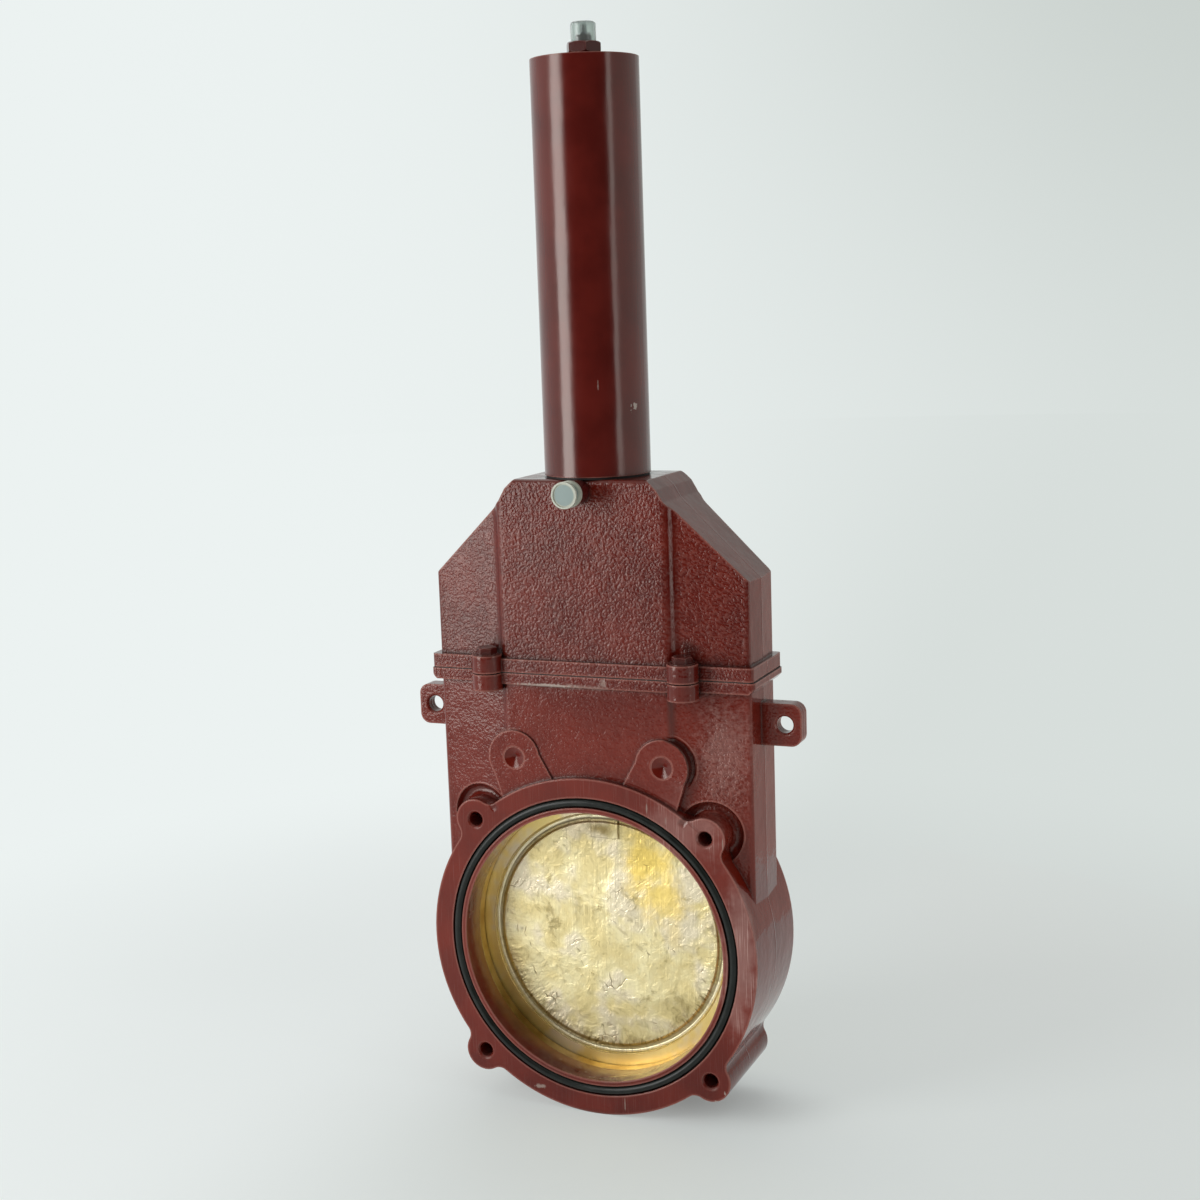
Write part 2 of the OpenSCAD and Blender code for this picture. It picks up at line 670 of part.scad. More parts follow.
module piston_rod() color(steel) union() {
    on_axis(rod_nut_z + rod_nut_h + 0.2) cylinder(d = rod_d, h = piston_z - rod_nut_z - rod_nut_h - 0.2);
    on_axis(gate_top_h - rod_end_l + 0.5) cylinder(d = rod_end_d, h = rod_end_l + rod_nut_h + 2);
    on_axis(piston_z - eps) cylinder(d = piston_thread_d, h = piston_l + piston_nut_h + 1);
}

module rod_nut() color(steel) on_axis(rod_nut_z) difference() {
    cylinder(d = rod_nut_af / cos(30), h = rod_nut_h, $fn = 6);
    translate([0, 0, -1]) cylinder(d = rod_end_d + 2 * fit, h = rod_nut_h + 2);
}

module piston() color(steel) on_axis(piston_z) difference() {
    cylinder(d = tube_bore_d - 1, h = piston_l);
    translate([0, 0, -1]) cylinder(d = piston_thread_d + 2 * fit, h = piston_l + 2);
    for (z = [4, piston_l - 9]) translate([0, 0, z]) difference() {
        cylinder(d = tube_bore_d + 1, h = 5);
        translate([0, 0, -1]) cylinder(d = tube_bore_d - 9, h = 7);
    }
}

// A ring in a groove of the piston, at a height over its underside.
module ring_on_piston(z) on_axis(piston_z + z + 0.2) difference() {
    cylinder(d = tube_bore_d - 0.2, h = 4.6);
    translate([0, 0, -1]) cylinder(d = tube_bore_d - 8.6, h = 7);
}

module piston_seal() color(rubber) ring_on_piston(4);
module piston_ring() color(plastic) ring_on_piston(piston_l - 9);

module piston_nut() color(steel) on_axis(piston_top_z) difference() {
    cylinder(d = piston_nut_af / cos(30), h = piston_nut_h, $fn = 6);
    translate([0, 0, -1]) cylinder(d = piston_thread_d + 2 * fit, h = piston_nut_h + 2);
}

lower_casting();
bonnet();
joint_gasket();
front_seat();
rear_seat();
front_face_seal();
rear_face_seal();
front_left_plug();
front_right_plug();
rear_left_plug();
rear_right_plug();
foot_gasket();
cylinder_tube();
cylinder_base();
rod_seal();
rod_wiper();
cylinder_head();
head_seal();
base_seal();
top_fitting();
fitting_nipple();
dust_cap();
port_nipple();
port_plug();
gate();
piston_rod();
rod_nut();
piston();
piston_seal();
piston_ring();
piston_nut();
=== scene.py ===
"""Finishes, fasteners and studio for a hydraulic gate valve of a tanker's outlet.

The solids come packed from the CAD source. This script gives each of them its finish, adds
the pieces that are too small for the source, and sets up a plain studio round the valve.
"""

import logging
import math
from dataclasses import dataclass, field
from enum import Enum
from functools import cached_property, partial, reduce
from itertools import pairwise

import bmesh
import bpy
from mathutils import Matrix, Vector

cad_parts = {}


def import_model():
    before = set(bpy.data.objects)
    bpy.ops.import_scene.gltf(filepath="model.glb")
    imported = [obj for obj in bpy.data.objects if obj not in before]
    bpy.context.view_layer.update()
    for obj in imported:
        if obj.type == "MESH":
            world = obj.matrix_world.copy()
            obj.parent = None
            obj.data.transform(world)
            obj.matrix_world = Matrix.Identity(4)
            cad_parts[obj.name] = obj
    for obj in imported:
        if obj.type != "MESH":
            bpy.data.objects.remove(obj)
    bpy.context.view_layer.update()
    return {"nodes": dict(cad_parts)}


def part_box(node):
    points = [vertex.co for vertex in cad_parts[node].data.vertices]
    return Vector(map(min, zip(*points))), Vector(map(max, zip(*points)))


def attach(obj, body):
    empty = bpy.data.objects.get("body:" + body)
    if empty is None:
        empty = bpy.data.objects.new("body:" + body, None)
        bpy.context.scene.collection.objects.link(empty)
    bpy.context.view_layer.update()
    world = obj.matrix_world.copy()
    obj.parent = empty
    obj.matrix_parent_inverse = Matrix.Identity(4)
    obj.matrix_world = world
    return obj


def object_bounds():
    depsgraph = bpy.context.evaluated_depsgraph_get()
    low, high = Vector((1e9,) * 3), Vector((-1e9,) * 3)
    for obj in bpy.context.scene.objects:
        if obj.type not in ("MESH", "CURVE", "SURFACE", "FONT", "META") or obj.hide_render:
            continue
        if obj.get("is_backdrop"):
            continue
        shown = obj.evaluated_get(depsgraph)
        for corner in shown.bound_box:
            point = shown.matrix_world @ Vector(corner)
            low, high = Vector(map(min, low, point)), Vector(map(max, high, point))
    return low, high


log = logging.getLogger("tanker_valve")

Colour = tuple[float, float, float]
Point = tuple[float, float, float]
Socket = bpy.types.NodeSocket
Tree = bpy.types.NodeTree
Value = float | tuple | Socket

ORIGIN: Point = (0.0, 0.0, 0.0)

# Where the marks on the castings and the gate lie, in metres in the valve's frame
FLANGE_FACE = -0.084
JOINT_EDGE = -0.0805
GATE_FACE = -0.053
BOSS_X, BOSS_Z = 0.0568, 0.136
LUG = 0.0884


def tone(red: int, green: int, blue: int) -> Colour:
    """Turns a display colour of 0 to 255 into scene-linear values.

    Args:
        red: Red part as seen on a display.
        green: Green part as seen on a display.
        blue: Blue part as seen on a display.

    Returns:
        The three linear values.
    """

    def linear(part: int) -> float:
        """Undoes the display curve for one part."""
        share = part / 255
        return share / 12.92 if share <= 0.04045 else ((share + 0.055) / 1.055) ** 2.4

    return linear(red), linear(green), linear(blue)


class Sketch:
    """Short calls that add and join nodes in one material, group or world."""

    def __init__(self, tree: Tree) -> None:
        """Starts on a tree, which is emptied."""
        self.tree = tree
        tree.nodes.clear()

    def feed(self, target: Socket, value: Value) -> None:
        """Joins a socket to an input, or sets the input's own value.

        Args:
            target: The input.
            value: A socket, or what the input is set to.
        """
        if isinstance(value, Socket):
            self.tree.links.new(value, target)
        elif isinstance(value, tuple) and target.type == "RGBA":
            target.default_value = (*value, 1.0)
        else:
            target.default_value = value

    def node(self, kind: str, inputs: dict | None = None, **settings: object) -> bpy.types.Node:
        """Adds a shader node.

        Args:
            kind: The node's type without its ShaderNode beginning.
            inputs: Values or sockets by input name or number.
            **settings: Other properties of the node.

        Returns:
            The new node.
        """
        made = self.tree.nodes.new("ShaderNode" + kind)
        for name, value in settings.items():
            setattr(made, name, value)
        for name, value in (inputs or {}).items():
            self.feed(made.inputs[name], value)
        return made

    def math(self, operation: str, first: Value, second: Value = 0.0) -> Socket:
        """Adds one calculation.

        Args:
            operation: Its name, with a bar at the end where the result is kept within 0 and 1.
            first: The first number.
            second: The second number, where there is one.

        Returns:
            The result.
        """
        settings = {"operation": operation.rstrip("|"), "use_clamp": operation.endswith("|")}
        return self.node("Math", {0: first, 1: second}, **settings).outputs[0]

    def times(self, *values: Value) -> Value:
        """Multiplies the values."""
        return reduce(partial(self.math, "MULTIPLY"), values)

    def plus(self, *values: Value) -> Value:
        """Adds the values."""
        return reduce(partial(self.math, "ADD"), values)

    def most(self, *values: Value) -> Value:
        """Takes the largest of the values."""
        return reduce(partial(self.math, "MAXIMUM"), values)

    def minus(self, first: Value, second: Value) -> Socket:
        """Takes the second value from the first."""
        return self.math("SUBTRACT", first, second)

    def distance(self, first: Value, second: Value) -> Socket:
        """How far two lengths at right angles lead."""
        return self.math("SQRT", self.plus(self.math("POWER", first, 2.0), self.math("POWER", second, 2.0)))

    def vector(self, operation: str, first: Value, second: Value = ORIGIN) -> Socket:
        """Adds one calculation with vectors.

        Args:
            operation: Its name.
            first: The first vector.
            second: The second vector, where there is one.

        Returns:
            The result, a number for a length or a dot product.
        """
        kind = "Value" if operation in ("LENGTH", "DOT_PRODUCT") else "Vector"
        return self.node("VectorMath", {0: first, 1: second}, operation=operation).outputs[kind]

    def in_steps(self, place: Value, size: Value) -> Socket:
        """Measures a position in steps of one size."""
        scale = self.math("DIVIDE", 1.0, size)
        return self.node("VectorMath", {0: place, "Scale": scale}, operation="SCALE").outputs[0]

    def joined(self, x: Value, y: Value, z: Value = 0.0) -> Socket:
        """Makes a vector of three numbers."""
        return self.node("CombineXYZ", {0: x, 1: y, 2: z}).outputs[0]

    def parts(self, vector: Value) -> tuple[Socket, ...]:
        """The three numbers of a vector."""
        return tuple(self.node("SeparateXYZ", {0: vector}).outputs)

    def span(self, value: Value, low: Value, high: Value) -> Socket:
        """Maps low to 0 and high to 1, smoothly and no further."""
        inputs = {"Value": value, "From Min": low, "From Max": high}
        return self.node("MapRange", inputs, interpolation_type="SMOOTHSTEP").outputs["Result"]

    def band(self, value: Value, rise: tuple[float, float], fall: tuple[float, float]) -> Value:
        """Marks where a value is between two soft limits."""
        return self.times(self.span(value, *rise), self.span(value, *fall))

    def between(self, value: Value, low: float, high: float) -> Socket:
        """Maps 0 to low and 1 to high in a straight line."""
        return self.node("MapRange", {"Value": value, "To Min": low, "To Max": high}).outputs["Result"]

    def mix(self, share: Value, first: Value, second: Value) -> Socket:
        """Mixes two colours."""
        return self.node("Mix", {0: share, 6: first, 7: second}, data_type="RGBA").outputs[2]

    def noise(self, place: Value, scale: Value, detail: float = 2.0, rough: float = 0.5) -> Socket:
        """Adds cloudy noise, from 0 to 1 round 0.5."""
        inputs = {"Vector": place, "Scale": scale, "Detail": detail, "Roughness": rough}
        return self.node("TexNoise", inputs).outputs[0]

    def drift(self, place: Value, scale: float, detail: float, by: Point) -> Socket:
        """Moves a position about by cloudy noise.

        Args:
            place: The position.
            scale: How close the clouds are.
            detail: How fine their detail is.
            by: How far they move it along each axis.

        Returns:
            The moved position.
        """
        cloud = self.node("TexNoise", {"Vector": place, "Scale": scale, "Detail": detail})
        return self.vector("ADD", place, self.vector("MULTIPLY", cloud.outputs["Color"], by))

    def bump(self, height: Value, distance: float, strength: float = 1.0, normal: Value = ORIGIN) -> Socket:
        """Turns a height into a normal.

        Args:
            height: The height.
            distance: What a height of 1 is in metres.
            strength: The share of it that shows.
            normal: The normal under it, where it isn't the surface's own.

        Returns:
            The normal.
        """
        inputs = {"Height": height, "Distance": distance, "Strength": strength}
        if isinstance(normal, Socket):
            inputs["Normal"] = normal
        return self.node("Bump", inputs).outputs[0]


def start_group(name: str, inputs: dict[str, float | Point]) -> tuple[Sketch, dict[str, Socket]]:
    """Starts a shader node group.

    Args:
        name: The group's name.
        inputs: Each input's name and usual value, a vector where it is a triple.

    Returns:
        The group's sketch, and its inputs by name.
    """
    tree = bpy.data.node_groups.new(name, "ShaderNodeTree")
    for label, usual in inputs.items():
        kind = "NodeSocketVector" if isinstance(usual, tuple) else "NodeSocketFloat"
        tree.interface.new_socket(label, in_out="INPUT", socket_type=kind).default_value = usual
    sketch = Sketch(tree)
    start = tree.nodes.new("NodeGroupInput")
    return sketch, {label: start.outputs[label] for label in inputs}


def end_group(s: Sketch, outputs: dict[str, Socket]) -> Tree:
    """Ends a shader node group.

    Args:
        s: The group's sketch.
        outputs: What the group puts out, by name.

    Returns:
        The group's tree.
    """
    for label, socket in outputs.items():
        kind = "NodeSocketVector" if socket.type == "VECTOR" else "NodeSocketFloat"
        s.tree.interface.new_socket(label, in_out="OUTPUT", socket_type=kind)
    end = s.tree.nodes.new("NodeGroupOutput")
    for label, socket in outputs.items():
        s.tree.links.new(socket, end.inputs[label])
    return s.tree


class Effects:
    """The shader node groups that several finishes share, each built once, when it is first used."""

    @cached_property
    def sand_grain(self) -> Tree:
        """The skin of a sand casting under paint: fine pebbles over a slow roll of the surface."""
        s, i = start_group("Sand Grain", {"Position": ORIGIN, "Grain Size": 0.0019})
        place = s.in_steps(i["Position"], i["Grain Size"])
        pebbles = s.span(s.noise(place, 1.0, 1.0), 0.32, 0.68)
        crumbs = s.noise(place, 1.9, 2.0, 0.6)
        height = s.plus(s.times(pebbles, 0.5), s.times(crumbs, 0.7))
        return end_group(s, {"Height": height, "Roll": s.noise(place, 0.13, 3.0, 0.55)})

    @cached_property
    def fine_lines(self) -> Tree:
        """Fine parallel marks of a cutter or a brush, in two widths, running along Z."""
        s, i = start_group("Fine Lines", {"Position": ORIGIN, "Pitch": 0.0004})
        close = s.math("DIVIDE", 1.0, i["Pitch"])
        x, y, z = s.parts(i["Position"])
        drawn = s.joined(s.times(x, close), s.times(y, close), s.times(z, close, 0.015))
        return end_group(s, {"Height": s.noise(drawn, 1.0, 1.0), "Bands": s.noise(drawn, 0.17)})

    @cached_property
    def patch(self) -> Tree:
        """A ragged patch at one place, such as a chip in the paint, a stain, or a cloud of painted sheen or
        shade.
        """
        usual = {"Position": ORIGIN, "Centre": ORIGIN, "Size": (0.01, 0.01, 0.01)}
        usual |= {"Grit": 420.0, "Rag": 2.6, "Soft": 0.25, "Share": 1.0}
        s, i = start_group("Ragged Patch", usual)
        off = s.vector("DIVIDE", s.vector("SUBTRACT", i["Position"], i["Centre"]), i["Size"])
        rag = s.minus(s.noise(i["Position"], i["Grit"], 3.0, 0.65), 0.5)
        away = s.plus(s.vector("LENGTH", off), s.times(rag, i["Rag"]))
        return end_group(s, {"Mask": s.times(s.span(away, 1.0, s.minus(1.0, i["Soft"])), i["Share"])})

    @cached_property
    def arc(self) -> Tree:
        """A soft band along part of a circle, as seen from the front or the back."""
        usual = {"Position": ORIGIN, "Centre": ORIGIN, "Towards": (0.0, 0.0, 1.0)}
        usual |= {"Radius": 0.02, "Width": 0.001, "Opening": 0.0, "Share": 1.0}
        s, i = start_group("Arc", usual)
        off = s.vector("MULTIPLY", s.vector("SUBTRACT", i["Position"], i["Centre"]), (1.0, 0.0, 1.0))
        beside = s.math("ABSOLUTE", s.minus(s.vector("LENGTH", off), i["Radius"]))
        wander = s.times(s.minus(s.noise(i["Position"], 140.0), 0.5), 0.6)
        band = s.span(s.plus(s.math("DIVIDE", beside, i["Width"]), wander), 1.0, 0.4)
        turned = s.vector("DOT_PRODUCT", s.vector("NORMALIZE", off), i["Towards"])
        along = s.span(turned, i["Opening"], s.plus(i["Opening"], 0.25))
        return end_group(s, {"Mask": s.times(band, along, i["Share"])})

    @cached_property
    def corners(self) -> Tree:
        """Rounded edges for the light to catch, and masks of outer edges and inner corners, for painted
        highlights along edges and painted shade in corners.
        """
        s, i = start_group("Corners", {"Radius": 0.001, "Reach": 0.004})
        rounded = s.node("Bevel", {"Radius": i["Radius"]}, samples=4).outputs[0]
        outside = s.node("AmbientOcclusion", {"Distance": i["Reach"]}, samples=4)
        inside = s.node(
            "AmbientOcclusion", {"Distance": i["Radius"]}, samples=4, inside=True, only_local=True
        )
        crease, edge = s.span(outside.outputs["AO"], 0.95, 0.35), s.span(inside.outputs["AO"], 0.98, 0.55)
        return end_group(s, {"Normal": rounded, "Crease": crease, "Edge": edge})

    @cached_property
    def dust(self) -> Tree:
        """A thin uneven film of dust on what faces up."""
        s, i = start_group("Dust", {"Position": ORIGIN, "Normal": (0.0, 0.0, 1.0)})
        up = s.span(s.parts(i["Normal"])[2], 0.35, 0.95)
        return end_group(s, {"Mask": s.times(up, s.span(s.noise(i["Position"], 90.0, 3.0, 0.6), 0.3, 0.75))})

    @cached_property
    def mottle(self) -> Tree:
        """Slow changes of shade and small specks, as in brushed or aged surfaces."""
        s, i = start_group("Mottle", {"Position": ORIGIN, "Size": 0.03})
        place = s.in_steps(i["Position"], i["Size"])
        specks = s.span(s.noise(place, 14.0, 2.0, 0.6), 0.66, 0.74)
        return end_group(s, {"Clouds": s.noise(place, 1.0, 3.0, 0.55), "Specks": specks})


class Surface(Sketch):
    """The sketch of one material, with the shared effects and the place on the piece."""

    def __init__(self, name: str, effects: Effects | None = None) -> None:
        """Starts a material.

        Args:
            name: The material's name.
            effects: The shared effects, where it uses any.
        """
        self.material = bpy.data.materials.new(name)
        self.material.use_nodes = True
        super().__init__(self.material.node_tree)
        self.effects = effects
        self.place = self.node("TexCoord").outputs["Object"]

    @cached_property
    def normal(self) -> Socket:
        """The surface's own normal."""
        return self.node("NewGeometry").outputs["Normal"]

    def effect(self, tree: Tree, **inputs: Value) -> bpy.types.bpy_prop_collection:
        """Places a shared effect with this material's own values.

        Args:
            tree: The effect's node group.
            **inputs: Values or sockets by input name, with _ for a space.

        Returns:
            The effect's outputs.
        """
        own = {name.replace("_", " "): value for name, value in inputs.items()}
        if "Position" in tree.interface.items_tree:
            own["Position"] = self.place
        return self.node("Group", own, node_tree=tree).outputs

    def stretched(self, scale: Point) -> Socket:
        """The place on the piece, scaled by a different number along each axis."""
        return self.vector("MULTIPLY", self.place, scale)

    def marked(self, spots: tuple["Patch | Arc", ...], start: Value = 0.0) -> Value:
        """Joins patches or arcs into one mask, over what is marked already."""
        return self.most(start, *(spot.mask(self) for spot in spots))

    def end(self, shader: bpy.types.Node) -> bpy.types.Material:
        """Ends the material in a shader."""
        self.node("OutputMaterial", {"Surface": shader.outputs[0]})
        return self.material

    def end_glowing(self, colour: Value, rough: float, own: Value, share: Value) -> bpy.types.Material:
        """Ends the material in a matt surface that shines by itself in part.

        Args:
            colour: The matt colour.
            rough: Its roughness.
            own: The colour that it shines with.
            share: The share that doesn't need the lamps.

        Returns:
            The material.
        """
        matt = self.node("BsdfPrincipled", {"Base Color": colour, "Roughness": rough})
        shine = self.node("Emission", {"Color": own, "Strength": 1.0})
        return self.end(self.node("MixShader", {0: share, 1: matt.outputs[0], 2: shine.outputs[0]}))


class Edge(Enum):
    """The edge of a patch: how close its rag is, how far it reaches in and out, and how soft it is."""

    CHIPPED = (420.0, 2.6, 0.25)
    SCUFFED = (420.0, 2.2, 0.6)
    RUBBED = (420.0, 2.0, 0.7)
    SCRATCHED = (160.0, 1.2, 0.5)
    SPECKLED = (260.0, 2.2, 0.85)
    CLOUDY = (55.0, 1.3, 0.85)


@dataclass(frozen=True)
class Patch:
    """One place where a piece is chipped or rubbed, has a stain or tint, or has painted sheen or shade, in
    the valve's frame.
    """

    centre: Point
    size: Point
    share: float = 1.0
    edge: Edge = Edge.CHIPPED

    def mask(self, s: Surface) -> Socket:
        """Draws the patch's mask."""
        own = dict(zip(("Grit", "Rag", "Soft"), self.edge.value), Share=self.share)
        return s.effect(s.effects.patch, Centre=self.centre, Size=self.size, **own)["Mask"]


def haze(centre: Point, size: Point, share: float = 1.0) -> Patch:
    """A wide soft-edged cloud, for painted sheen or shade, coarser grain, gilt or stains."""
    return Patch(centre, size, share, Edge.CLOUDY)


@dataclass(frozen=True)
class Arc:
    """Part of a circle round a boss or a lug, for a hollow with painted shade or for a painted highlight."""

    centre: tuple[float, float]
    radius: float
    width: float
    towards: float
    spread: float
    share: float = 1.0

    def mask(self, s: Surface) -> Socket:
        """Draws the arc's mask.

        Args:
            s: The material's sketch.

        Returns:
            The mask.
        """
        turn = math.radians(self.towards)
        return s.effect(
            s.effects.arc,
            Centre=(self.centre[0], 0.0, self.centre[1]),
            Towards=(math.cos(turn), 0.0, math.sin(turn)),
            Radius=self.radius,
            Width=self.width,
            Opening=math.cos(math.radians(self.spread)),
            Share=self.share,
        )["Mask"]


@dataclass(frozen=True)
class Finish:
    """A named finish, which draws its own material."""

    name: str

    def inputs(self, s: Surface) -> dict[str, Value]:
        """Draws the finish and returns what goes into its shader."""
        raise NotImplementedError

    def material(self, effects: Effects) -> bpy.types.Material:
        """Builds the material with the shared effects."""
        s = Surface(self.name, effects)
        return s.end(s.node("BsdfPrincipled", self.inputs(s)))


class Skin(Enum):
    """How a surface of painted metal was made before it was painted."""

    CAST = "cast"
    DRAWN = "drawn"
    MACHINED = "machined"


@dataclass(frozen=True)
class Relief:
    """What the skin under the paint does to it: its height, extra roughness, pits for painted shade, high
    points for painted highlights, and scores.
    """

    height: Value
    duller: Value = 0.0
    pits: Value = 0.0
    peak_highlights: Value = 0.0
    scores: Value = 0.0


@dataclass(frozen=True)
class Marks:
    """Where paint is chipped or rubbed, where it has painted sheen, shade or highlights, and where a casting
    is coarser or has a shaded hollow.
    """

    chips: tuple[Patch, ...] = ()
    rubs: tuple[Patch, ...] = ()
    # Painted sheen
    sheen_patches: tuple[Patch, ...] = ()
    # Painted shade
    shadow_patches: tuple[Patch, ...] = ()
    coarse: tuple[Patch, ...] = ()
    # Pockets with painted shade
    shaded_hollows: tuple[Arc, ...] = ()
    # Painted highlights
    glints: tuple[Arc, ...] = ()


@dataclass(frozen=True)
class Turning:
    """Where a casting is turned, on its two flange faces and in its bore, and the seam between them."""

    front: float
    back: float
    middle: float
    bore: float
    spare: float = 0.0004
    pitch: float = 0.0005
    seam: tuple[float, float] = (0.0012, 0.0004)
    # Depths in the bore over which the painted reflection of the bronze fades in
    bare: tuple[float, float] = (0.010, 0.024)
    wander: float = 0.008


@dataclass(frozen=True)
class Paint(Finish):
    """Glossy oxide-red paint, over the skin that the metal under it has."""

    skin: Skin
    deep: Colour = tone(82, 13, 6)
    light: Colour = tone(100, 23, 12)
    low: Colour = tone(150, 50, 32)
    # Pale colour of the painted highlights on edges, glint arcs and the grain's high points, and of some wear
    # on edges
    highlight_and_wear: Colour = tone(176, 116, 104)
    # Dark colour of the painted shade in pits, creases, pockets and shadow patches
    shade_dark: Colour = tone(40, 14, 11)
    dust: Colour = tone(150, 138, 130)
    # Pale colour of the painted sheen
    milky: Colour = tone(186, 150, 142)
    scored: Colour = tone(208, 174, 165)
    rubbed: Colour = tone(150, 128, 118)
    metal: Colour = tone(170, 156, 146)
    # Gold-brown tint deep in the bore, a painted reflection of the bronze
    gilt: Colour = tone(144, 96, 48)
    gloss: float = 0.13
    ior: float = 1.46
    grain: float = 0.0019
    relief: float = 0.0006
    edge: float = 0.0010
    crease: float = 0.004
    cloud: float = 0.035
    spray: float = 0.0011
    coarser: tuple[float, float] = (0.18, 0.20)
    warmer: tuple[tuple[float, float], ...] = ((0.20, 0.16), (-0.11, -0.03))
    marks: Marks = Marks()
    turning: Turning | None = None

    def _machined(self, s: Surface) -> Value:
        """Marks the flat flange faces, which were turned before they were painted.

        Args:
            s: The material's sketch.

        Returns:
            The mask.
        """
        y = s.parts(s.place)[1]
        front = s.math("LESS_THAN", y, self.turning.front + self.turning.spare)
        back = s.math("GREATER_THAN", y, self.turning.back - self.turning.spare)
        facing = s.span(s.math("ABSOLUTE", s.parts(s.normal)[1]), 0.8, 0.95)
        return s.times(s.most(front, back), facing)

    def _bore_gold_reflection(self, s: Surface) -> Value:
        """Marks the wall of the bore deep towards the bronze seats, where a gold-brown tint paints the
        bronze's reflection.

        Args:
            s: The material's sketch.

        Returns:
            The mask.
        """
        turning = self.turning
        x, y, z = s.parts(s.place)
        inside = s.math("LESS_THAN", s.distance(x, z), turning.bore + turning.spare)
        off = s.math("ABSOLUTE", s.minus(y, turning.middle))
        deep = s.minus((turning.back - turning.front) / 2, off)
        thin = s.plus(deep, s.times(s.noise(s.place, 60.0, 3.0, 0.6), turning.wander))
        return s.times(inside, s.span(thin, *turning.bare))

    def _cast_skin(self, s: Surface) -> Relief:
        """Draws pebbly panels, smoother coves and sides, and the cutter's lines on the flange faces, with
        masks for painted shade in the grain's pits and painted highlights on its high points.

        Args:
            s: The material's sketch.

        Returns:
            The skin's relief.
        """
        grain = s.effect(s.effects.sand_grain, Grain_Size=self.grain)
        lines = s.effect(s.effects.fine_lines, Pitch=self.turning.pitch)
        _, y, z = s.parts(s.place)
        sideways, frontal = (s.math("ABSOLUTE", part) for part in s.parts(s.normal)[:2])
        machined = self._machined(s)
        coarse = s.marked(self.marks.coarse)
        upper = s.plus(s.between(s.span(z, *self.coarser), 0.4, 1.0), coarse)
        bare = s.math("SUBTRACT|", s.span(frontal, 0.8, 0.995), machined)
        amount = s.times(s.between(bare, 0.08, 1.0), upper)

        height = s.plus(s.times(grain["Height"], amount), s.times(grain["Roll"], 1.5))
        height = s.plus(height, s.times(lines["Height"], machined, 0.05))
        off = s.math("ABSOLUTE", s.minus(y, self.turning.middle))
        seam = s.times(s.span(off, *self.turning.seam), s.span(sideways, 0.5, 0.9))
        height = s.plus(height, s.times(seam, 0.5))
        height = s.minus(height, s.times(s.marked(self.marks.shaded_hollows), 2.5))
        height = s.plus(height, s.marked(self.marks.glints))

        # Painted shade in the grain's pits, and painted highlights on its high points, the latter stronger
        # where the grain is coarse
        pits = s.math("MULTIPLY|", s.span(grain["Height"], 0.54, 0.30), s.math("SUBTRACT|", amount, coarse))
        peak_highlights = s.math("MULTIPLY|", s.span(grain["Height"], 0.60, 0.80), amount)
        painted_highlight = s.times(s.span(grain["Height"], 0.40, 0.70), coarse)
        peak_highlights = s.most(s.times(peak_highlights, 0.12), s.times(painted_highlight, 0.13))
        scores = s.times(s.span(lines["Height"], 0.58, 0.72), machined)
        return Relief(height, pits=pits, peak_highlights=peak_highlights, scores=scores)

    def _drawn_skin(self, s: Surface) -> Relief:
        """Draws the shallow waves of sprayed paint on a drawn tube.

        Args:
            s: The material's sketch.

        Returns:
            The skin's relief.
        """
        lines = s.effect(s.effects.fine_lines, Pitch=self.spray)
        soft = s.noise(s.stretched((1.0, 1.0, 0.35)), 120.0, 3.0, 0.55)
        dents = s.noise(s.stretched((1.0, 1.0, 0.45)), 45.0)
        height = s.plus(s.times(lines["Bands"], 0.05), s.times(soft, 0.12), s.times(dents, 0.7))
        return Relief(height, duller=s.times(lines["Height"], 0.04))

    def _machined_skin(self, s: Surface) -> Relief:
        """Draws the soft orange peel of paint on a machined part."""
        return Relief(s.times(s.noise(s.place, 700.0), 0.12))

    def inputs(self, s: Surface) -> dict[str, Value]:
        """Draws the paint on its skin, with its wear and dust, and painted highlights, sheen and shade.

        Args:
            s: The material's sketch.

        Returns:
            What goes into the shader.
        """
        effects, marks = s.effects, self.marks
        clouds = s.effect(effects.mottle, Size=self.cloud)["Clouds"]
        corners = s.effect(effects.corners, Radius=self.edge, Reach=self.crease)
        film = s.effect(effects.dust, Normal=s.normal)["Mask"]
        skins = {Skin.CAST: self._cast_skin, Skin.DRAWN: self._drawn_skin, Skin.MACHINED: self._machined_skin}
        skin = skins[self.skin](s)

        colour = s.mix(s.span(clouds, 0.3, 0.7), self.deep, self.light)
        if self.skin is Skin.CAST:
            warmer = s.band(s.parts(s.place)[2], *self.warmer)
            colour = s.mix(s.times(warmer, 0.17), colour, self.low)
        # Painted shade in the pits and painted highlights on the high points of the grain
        colour = s.mix(s.times(skin.pits, 0.16), colour, self.shade_dark)
        colour = s.mix(skin.peak_highlights, colour, self.highlight_and_wear)
        # Painted highlights along outer edges and on the glint arcs, with some wear on edges
        painted_highlight = s.most(corners["Edge"], s.marked(marks.glints))
        colour = s.mix(s.times(painted_highlight, 0.6), colour, self.highlight_and_wear)
        colour = s.mix(s.times(film, 0.14), colour, self.dust)
        # Gold-brown tint deep in the bore: a painted reflection of the bronze
        if self.turning is not None:
            colour = s.mix(self._bore_gold_reflection(s), colour, self.gilt)
        # Painted sheen: paler clouds
        sheen_mask = s.marked(marks.sheen_patches)
        colour = s.mix(s.times(sheen_mask, 0.4), colour, self.milky)
        colour = s.mix(s.times(skin.scores, s.between(sheen_mask, 0.05, 1.0)), colour, self.scored)
        rubbed = s.marked(marks.rubs)
        colour = s.mix(s.times(rubbed, 0.75), colour, self.rubbed)
        chipped = s.marked(marks.chips)
        colour = s.mix(chipped, colour, self.metal)
